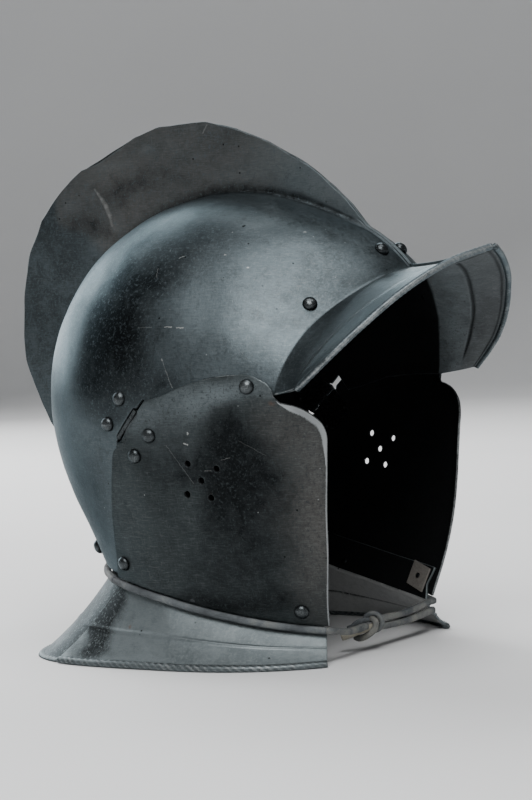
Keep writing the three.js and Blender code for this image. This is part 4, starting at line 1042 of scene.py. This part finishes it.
def cheek_grid():
    """Surface between four edges, on the head form."""
    ys = lerp(CHEEK_REAR_FOOT, CHEEK_FRONT_FOOT, CHEEK_ACROSS) * FACE_REACH
    bottom = np.stack([np.zeros_like(ys), ys, waist_height(ys) + LACE * 2 + SEAT], axis=-1)
    upper, lower = slot_place(-SLOT_HALF, SLOT_CHEEK_SIDE), slot_place(SLOT_HALF, SLOT_CHEEK_SIDE)
    top = curve_points([upper] + [side_place(*p) for p in CHEEK_TOP], CHEEK_ACROSS)
    rear = np.vstack([
        curve_points([bottom[0]] + [side_place(*p) for p in CHEEK_REAR] + [lower],
                     np.linspace(0, 1, CHEEK_REAR_STEPS + 1)),
        curve_points([lower, upper], np.linspace(0, 1, CHEEK_SLOT_STEPS + 1))[1:]])
    on_slot = np.arange(len(rear)) >= CHEEK_REAR_STEPS
    rear = rear + SLOT_ACROSS * (CHEEK_SLOT_ROOM * past_knuckles(rear) * on_slot)[:, None]
    v = np.linspace(0, 1, len(rear))
    front = curve_points([bottom[-1]] + [side_place(*p) for p in CHEEK_FRONT],
                         np.interp(v * 10, np.arange(11), CHEEK_FRONT_ROWS))
    u = CHEEK_ACROSS[:, None, None]
    v = v[None, :, None]
    spot = bottom[:, None] * (1 - v) + top[:, None] * v + rear[None] * (1 - u) + front[None] * u
    spot = spot - bottom[0] * (1 - u) * (1 - v) - rear[-1] * (1 - u) * v
    spot = spot - front[0] * u * (1 - v) - front[-1] * u * v
    return on_head(spot[..., 1], spot[..., 2])


def cut_holes(piece, places, radius, side):
    """Round holes through a plate, square to it."""
    for n, (y, z) in enumerate(places):
        centre = on_head(y, z)
        axis = head_normal(y, z)
        path = np.stack([centre + axis * out for out in (-9, -3, 3, 9)])
        points, faces = tube(path, (radius, radius), square=2, sides=20, up=(0, 1.0, 0.2))
        cutter = add_mesh(f"cutter_{n}", stand(points), faces, [INNER_SHADE], mirror=side == "right")
        hole = piece.modifiers.new("hole", "BOOLEAN")
        hole.operation = "DIFFERENCE"
        hole.solver = "EXACT"
        hole.object = cutter
        bpy.context.view_layer.update()
        graph = bpy.context.evaluated_depsgraph_get()
        cut = bpy.data.meshes.new_from_object(piece.evaluated_get(graph), depsgraph=graph)
        piece.modifiers.clear()
        spent = [piece.data, cutter.data]
        piece.data = cut
        bpy.data.objects.remove(cutter)
        for mesh in spent:
            bpy.data.meshes.remove(mesh)


def cheek(side):
    grid = cheek_grid()
    normals = head_normal(grid[..., 1], grid[..., 2])
    columns, rows = grid.shape[:2]
    u = CHEEK_ACROSS[:, None]
    v = np.linspace(0, 1, rows)[None, :]
    from_front = (1 - u) * CHEEK_RUN
    from_top = (1 - v) * CHEEK_RISE
    worked_edge = np.vstack([grid[-1], grid[grid[:, -1, 1] < NOTCH_Y, -1]])
    edge_gap = np.linalg.norm(grid[:, :, None] - worked_edge, axis=-1).min(axis=-1)
    turned = EDGE_TURN * turn_by_row(v) * (1 - smoothstep(edge_gap, 0, EDGE_RUN))
    lift = ripple(grid, 40, 0.12, 8) - turned
    points, faces, kinds, border, _ = plate(grid, normals, GAP + THICK, GAP, lift)
    bi, bk = border
    # Bright band along the worked front edge: worn metal, widening toward the notch into a painted highlight
    # on the turned edge.
    band = BAND_LEAST + BAND_MORE * smoothstep(-grid[..., 1], 77, 87) * smoothstep(v, 0.58, 0.86)
    near_front = np.maximum(1.35 * np.exp(-(edge_gap / band) ** 4), 0.5 * bell(from_front, 0.9))
    wear = np.maximum(near_front, 0.3 * bell(from_top, 0.9) * (u > 0.3))
    on_top = (bk == rows - 1) & (u[bi, 0] > 0.3)
    wear_ring = np.where(bi == columns - 1, 0.62, np.where(on_top, 0.5, 0.25))

    rust = 0.7 - np.linalg.norm(grid[..., 1:] - BROWN_CORNER, axis=-1) / 5
    for share in HEARING:
        gap = np.linalg.norm(grid[..., 1:] - side_place(*share)[1:], axis=-1)
        rust = np.maximum(rust, 0.52 - gap / 9)
    piece = add_mesh(f"cheek_{side}", stand(points), faces.tolist(), [CHEEK_SHADED, INNER_SHADE], kinds == LOWER, {
        "wear": per_point(wear, 0.2 * wear, border, np.repeat(wear_ring, RINGS)),
        "stain_and_shade": per_point(spots(grid, CHEEK_PAINTED_SHADE), 0, border),
        "rust": per_point(np.clip(rust, 0, 1), 0, border),
        "painted_highlight": per_point(spots(grid, CHEEK_HIGHLIGHTS), 0, border),
        "warm": per_point(spots(grid, CHEEK_LIT_BAND), 0, border),
    }, mirror=side == "right")
    cut_holes(piece, [side_place(*share)[1:] for share in HEARING], HEARING_RADIUS, side)
    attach(piece, f"cheekpiece_{side}")
    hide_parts(f"cheek_{side}")
    return piece


# Neck plates
# A row's down is -1 at the top of the flange, 0 at the waist and 1 at the foot.
FLANGE_ROWS = 14
FLARE_ROWS = 46
FLANGE_FOOT = -0.04
STUB_TOP = -0.08
TUCKED_REACH = 0.84
TUCK_RUN = 0.008
EMBOSS_HALF = 0.034
EMBOSS = 0.8
NAPE_EMBOSS = 0.3
DOWNS = np.concatenate([np.linspace(-1, FLANGE_FOOT, FLANGE_ROWS), np.linspace(0, 1, FLARE_ROWS)])
NECK_STAINS = [(42, 22, 11, 18, 1.35), (30, 6, 22, 4, 0.2), (52, 4, 12, 9, 0.7)]
NECK_RUST = np.array([20.3, 16.0])


def bead_room(shares):
    """Share of each column that stays clear of the bead at its foot."""
    run = np.linalg.norm(base_point(shares) - flare_point(shares, 0.9), axis=1)[:, None] * 10
    return BASE_BEAD / run


def gorget_grid():
    shares = np.concatenate([np.linspace(0, GORGET_FLANGE_END, 320), np.linspace(0.4706, GORGET_END, 52)])
    top = lerp(-1.0, STUB_TOP, smoothstep(shares, GORGET_FLANGE_END, GORGET_FLANGE_END + TUCK_RUN))[:, None]
    down = np.where(DOWNS < 0, -DOWNS * top, DOWNS * (1 - bead_room(shares)))
    lean = np.maximum(0, 1 - shares[:, None] / GORGET_FLANGE_END) * np.clip(-down / 0.45, 0, 1)
    return flare_point(shares[:, None] + 0.03 * lean, down)


def nape_half():
    return np.concatenate([np.linspace(NAPE_START, NAPE_FLANGE, 60)[:-1], np.linspace(NAPE_FLANGE, 1, 240)])


def nape_tuck(half):
    return 1 - smoothstep(half, NAPE_FLANGE - TUCK_RUN, NAPE_FLANGE)


def nape_grid():
    half = nape_half()
    tuck = nape_tuck(half)[:, None]
    stub = lerp(FLANGE_FOOT, STUB_TOP, np.clip((FLANGE_FOOT - DOWNS) / (1 + FLANGE_FOOT), 0, 1))
    down = lerp(DOWNS, np.where(DOWNS < 0, stub, TUCKED_REACH * DOWNS), tuck)
    down = np.where(DOWNS > 0, down * (1 - bead_room(half) * (1 - tuck)), down)
    left = flare_point(half[:, None], down)
    return np.concatenate([left, left[:-1][::-1] * FLIP], axis=0)


def neck_plate(grid, level, name, body, free, side=None):
    """free is 1 where the foot of a plate shows, and 0 where it is tucked behind another."""
    columns, rows = grid.shape[:2]

    def bead(i, k):
        return np.where((k == rows - 1) & (free[i] > 0.5) & (i > 1) & (i < columns - 2), BASE_BEAD, 0.0)

    def rope(run, angle):
        return 0.1 * np.cos(2 * math.pi * run / BASE_ROPE + 4 * angle)

    swell = np.cos(np.clip((DOWNS - EMBOSS_DOWN) / EMBOSS_HALF, -1, 1) * math.pi / 2) ** 2
    emboss = (EMBOSS if side else NAPE_EMBOSS) * swell
    lift = emboss * free[:, None] + ripple(grid, 30, 0.1, 6)
    normals = grid_normals(grid, (1, 0, 0) if side else (0, 1, 0))
    points, faces, kinds, border, strands = plate(grid, normals, level, level - THICK, lift, bead, rope)
    row_of = (faces.min(axis=1) % (columns * rows)) % rows
    slots = np.where(kinds == LOWER, np.where(row_of < FLANGE_ROWS - 1, 1, 2), 0)
    bk = border[1]
    crest = bell(DOWNS - EMBOSS_DOWN, 0.02) * free[:, None]
    wear_rings = np.where(bk == rows - 1, 0.4, np.where(bk < FLANGE_ROWS, 0.05, 0.5))[:, None] + 2.2 * strands
    stain_and_shade_up = spots(grid, NECK_STAINS) if side else np.ones((columns, rows))
    # Painted shade along the foot row, where the plate meets its bead.
    stain_and_shade_up = np.maximum(stain_and_shade_up, 0.8 * bell(rows - 1 - np.arange(rows), 0.9))
    stain_and_shade_low = np.maximum(0.9 * crest, 0.5 * (DOWNS < 0))
    stain_and_shade_rings = np.where(bk == rows - 1, 0.45, 0.1)[:, None] - 1.6 * strands
    rust = np.clip(0.8 - np.linalg.norm(grid[..., 1:] - NECK_RUST, axis=-1) / 3, 0, 1)
    # Painted highlight, toward the rear of the gorget.
    highlight_share = 0.5 * smoothstep(grid[..., 1], -45, 5) * (1 if side else 0)
    piece = add_mesh(name, stand(points), faces.tolist(), [NECK_CLEANER_AND_LIT, INNER_SHADE, FLARE_IN_LIT], slots, {
        "wear": per_point(0.3 * crest, 0, border, wear_rings),
        "stain_and_shade": per_point(stain_and_shade_up, stain_and_shade_low, border, stain_and_shade_rings),
        "rust": per_point(rust, 0, border, 0 * wear_rings),
        "painted_highlight": per_point(highlight_share, 0, border),
    }, mirror=side == "right")
    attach(piece, body)
    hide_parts(name)
    return piece


# Rivets
RIVET_HEAD = 4.2
RIVET_HEIGHT = 2.6
RIVET_BRIM = 0.05
RIVET_SHANK = 1.5
FLUSH_RIM = [(1.3, 0), (1.6, 0.15), (1.7, 0.4)]


def lathe(profile, y, z, sides=28):
    """Turned piece square to the head form. profile gives radius and level, from tip to tip."""
    centre = on_head(y, z)
    axis = head_normal(y, z)
    across = unit(np.cross(axis, np.array([0, 0.3, 1.0])))
    angle = np.linspace(0, 2 * math.pi, sides, endpoint=False)[:, None]
    circle = np.cos(angle) * across + np.sin(angle) * np.cross(axis, across)
    rings = np.array([centre + axis * level + radius * circle for radius, level in profile if radius > 0])
    return closed_rings(rings, [centre + axis * profile[0][1], centre + axis * profile[-1][1]])


def rivet(name, place, top, bottom, body, side, seed):
    y, z = place[1:]
    flush = name == "rivet_gorget_middle"
    head = top if flush else top + SEAT * 2
    foot = bottom - SEAT * 2
    if flush:
        profile = [(0, head)] + [(radius, head - drop) for radius, drop in FLUSH_RIM]
        profile.append((FLUSH_RIM[-1][0], foot))
    else:
        brim = top + RIVET_BRIM
        dome = RIVET_HEIGHT + SEAT * 2
        profile = [(0, brim + dome), (0.35, brim + dome - 0.01)]
        turn = np.linspace(0, math.pi / 2, 11)[1:]
        profile += [(RIVET_HEAD * math.sin(a), brim + dome * math.cos(a)) for a in turn]
        profile += [(RIVET_HEAD - 0.2, top), (RIVET_SHANK, top), (RIVET_SHANK, foot)]
    points, faces = lathe(profile, y, z)
    if not flush:
        points = points + unit(points - points.mean(axis=0)) * ripple(points, 6, 0.07, seed)[..., None]
    out = (points - on_head(y, z)) @ head_normal(y, z) - head
    out = out / RIVET_HEIGHT
    # The head is painted darker toward its foot, as shade where it meets the plate, and lighter toward its
    # crown, partly wear and partly a painted highlight.
    values = {"wear": np.clip(out, 0, 1) * 0.45, "stain_and_shade": np.clip(0.6 - out, 0, 1)}
    piece = add_mesh(f"{name}_{side}", stand(points), faces, [RIVET], values=values, mirror=side == "right")
    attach(piece, body)
    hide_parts(f"{name}_{side}")
    return piece


CHEEK_OUT = GAP + THICK
SKULL_LEAF_IN = -THICK - SUNK_LEAF - LEAF
CHEEK_LEAF_IN = GAP - SEAT - LEAF
WASHER_IN = -THICK - SEAT - LEAF
LOBE_IN = GAP + 0.6
RIVETS = [
    ("rivet_brow_front", side_place(-0.967, 1.567), 0.0, -THICK),
    ("rivet_brow_side", side_place(-0.831, 1.369), 0.0, -THICK),
    ("rivet_hinge_skull_upper", slot_place(-5.4, 12.6), 0.0, SKULL_LEAF_IN),
    ("rivet_hinge_skull_lower", slot_place(12.2, 10.6), 0.0, SKULL_LEAF_IN),
    ("rivet_hinge_cheek_upper", slot_place(-3.7, -15.2), CHEEK_OUT, CHEEK_LEAF_IN),
    ("rivet_hinge_cheek_lower", slot_place(12.6, -14.3), CHEEK_OUT, CHEEK_LEAF_IN),
    ("rivet_lobe", side_place(-0.632, 1.067), CHEEK_OUT, LOBE_IN),
    ("rivet_gorget_front", side_place(-0.778, 0.208), CHEEK_OUT, WASHER_IN),
    ("rivet_gorget_rear", side_place(0.262, 0.356), CHEEK_OUT, -THICK),
    ("rivet_gorget_middle", side_place(-0.175, 0.231), CHEEK_OUT, -THICK),
    ("rivet_nape", side_place(0.671, 0.375), 0.0, -2 * THICK - GAP),
]
LACE_SIZE = (LACE, LACE * 0.95)
LACE_WEAR = 0.32

for side in ("right", "left"):
    skull_half(side)
    cheek(side)
    flare = gorget_grid()
    neck_plate(flare, 0.0, f"gorget_plate_{side}", f"cheekpiece_{side}", np.ones(len(flare)), side)
    for n, (name, place, top, bottom) in enumerate(RIVETS):
        body = f"cheekpiece_{side}" if top == CHEEK_OUT else "skull"
        rivet(name, place, top, bottom, body, side, n + (30 if side == "left" else 0))
    path = lace_point(np.linspace(0, GORGET_END, 161))
    lace_piece(f"lace_side_{side}", path, LACE_SIZE, LACE_WEAR, f"cheekpiece_{side}", (f"lace_side_{side}",),
               mirror=side == "right", sides=20)

untucked = 1 - nape_tuck(nape_half())
neck_plate(nape_grid(), -THICK - GAP, "nape_plate", "skull", np.concatenate([untucked, untucked[:-1][::-1]]))
nape_left = lace_point(np.linspace(GORGET_END + 0.003, 1, 90))
nape_path = np.concatenate([nape_left, nape_left[:-1][::-1] * FLIP])
lace_piece("lace_nape", nape_path, LACE_SIZE, LACE_WEAR, "skull", ("lace_nape",), sides=20)

for name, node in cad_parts.items():
    if name.startswith(("hinge_", "washer_")):
        node.data.materials.clear()
        node.data.materials.append(WASHER if name.startswith("washer_") else RIVET)


# Stage and light
FLOOR_LEVEL = -0.0003
FLOOR_REACH = 2.5
FLOOR_CURVE = 1.2


def add_floor():
    """Round floor that curves up at its edge."""
    t = Tree("stage_floor")
    tone = t.ramp(t.noise(t.place, 3, 2), 0.3, 0.7)
    base = t.mix(tone, (0.66, 0.665, 0.67), (0.68, 0.685, 0.69))
    material = t.finished({"Base Color": base, "Roughness": 0.9})
    bend = np.linspace(0.15, math.pi / 2, 12)
    radii = np.concatenate([np.linspace(0, FLOOR_REACH, 6)[1:], FLOOR_REACH + FLOOR_CURVE * np.sin(bend)])
    levels = np.concatenate([np.zeros(5), FLOOR_CURVE * (1 - np.cos(bend))]) + FLOOR_LEVEL
    angle = np.linspace(0, 2 * math.pi, 96, endpoint=False)
    rings = [np.stack([r * np.cos(angle), r * np.sin(angle), np.full(len(angle), z)], axis=-1)
             for r, z in zip(radii, levels)]
    points = np.concatenate(rings + [[[0, 0, FLOOR_LEVEL]]])
    at = np.arange(len(points) - 1).reshape(len(rings), -1)
    beside = np.roll(at, -1, axis=1)
    faces = quads(at[1:], beside[1:], beside[:-1], at[:-1]).tolist()
    faces += [[at.size, a, b] for a, b in zip(at[0], beside[0])]
    add_mesh("stage_floor", points, faces, [material])


def add_light(name, place, size, power):
    data = bpy.data.lights.new(name, "AREA")
    data.shape = "RECTANGLE"
    data.size, data.size_y = size
    data.energy = power
    lamp = bpy.data.objects.new(name, data)
    heading = Vector(LIGHT_AIM) - Vector(place)
    lamp.matrix_world = Matrix.Translation(place) @ heading.to_track_quat("-Z", "Y").to_matrix().to_4x4()
    lamp.visible_camera = False
    bpy.context.scene.collection.objects.link(lamp)


add_floor()
LIGHT_AIM = (0, 0, 0.15)
add_light("key_over_camera", (-1.35, -0.65, 1.75), (1.5, 1.2), 46)
add_light("strip_behind_left", (0.8, 1.86, 1.05), (1.5, 1.8), 62)
add_light("soft_behind_front", (1.25, 0.95, 1.35), (1.1, 1.0), 22)
add_light("top_soft", (-0.1, -0.5, 2.3), (1.4, 1.4), 28)
world = bpy.data.worlds.new("studio")
world.use_nodes = True
background = world.node_tree.nodes["Background"].inputs
background["Color"].default_value = (0.9, 0.93, 0.96, 1.0)
background["Strength"].default_value = 0.12
bpy.context.scene.world = world
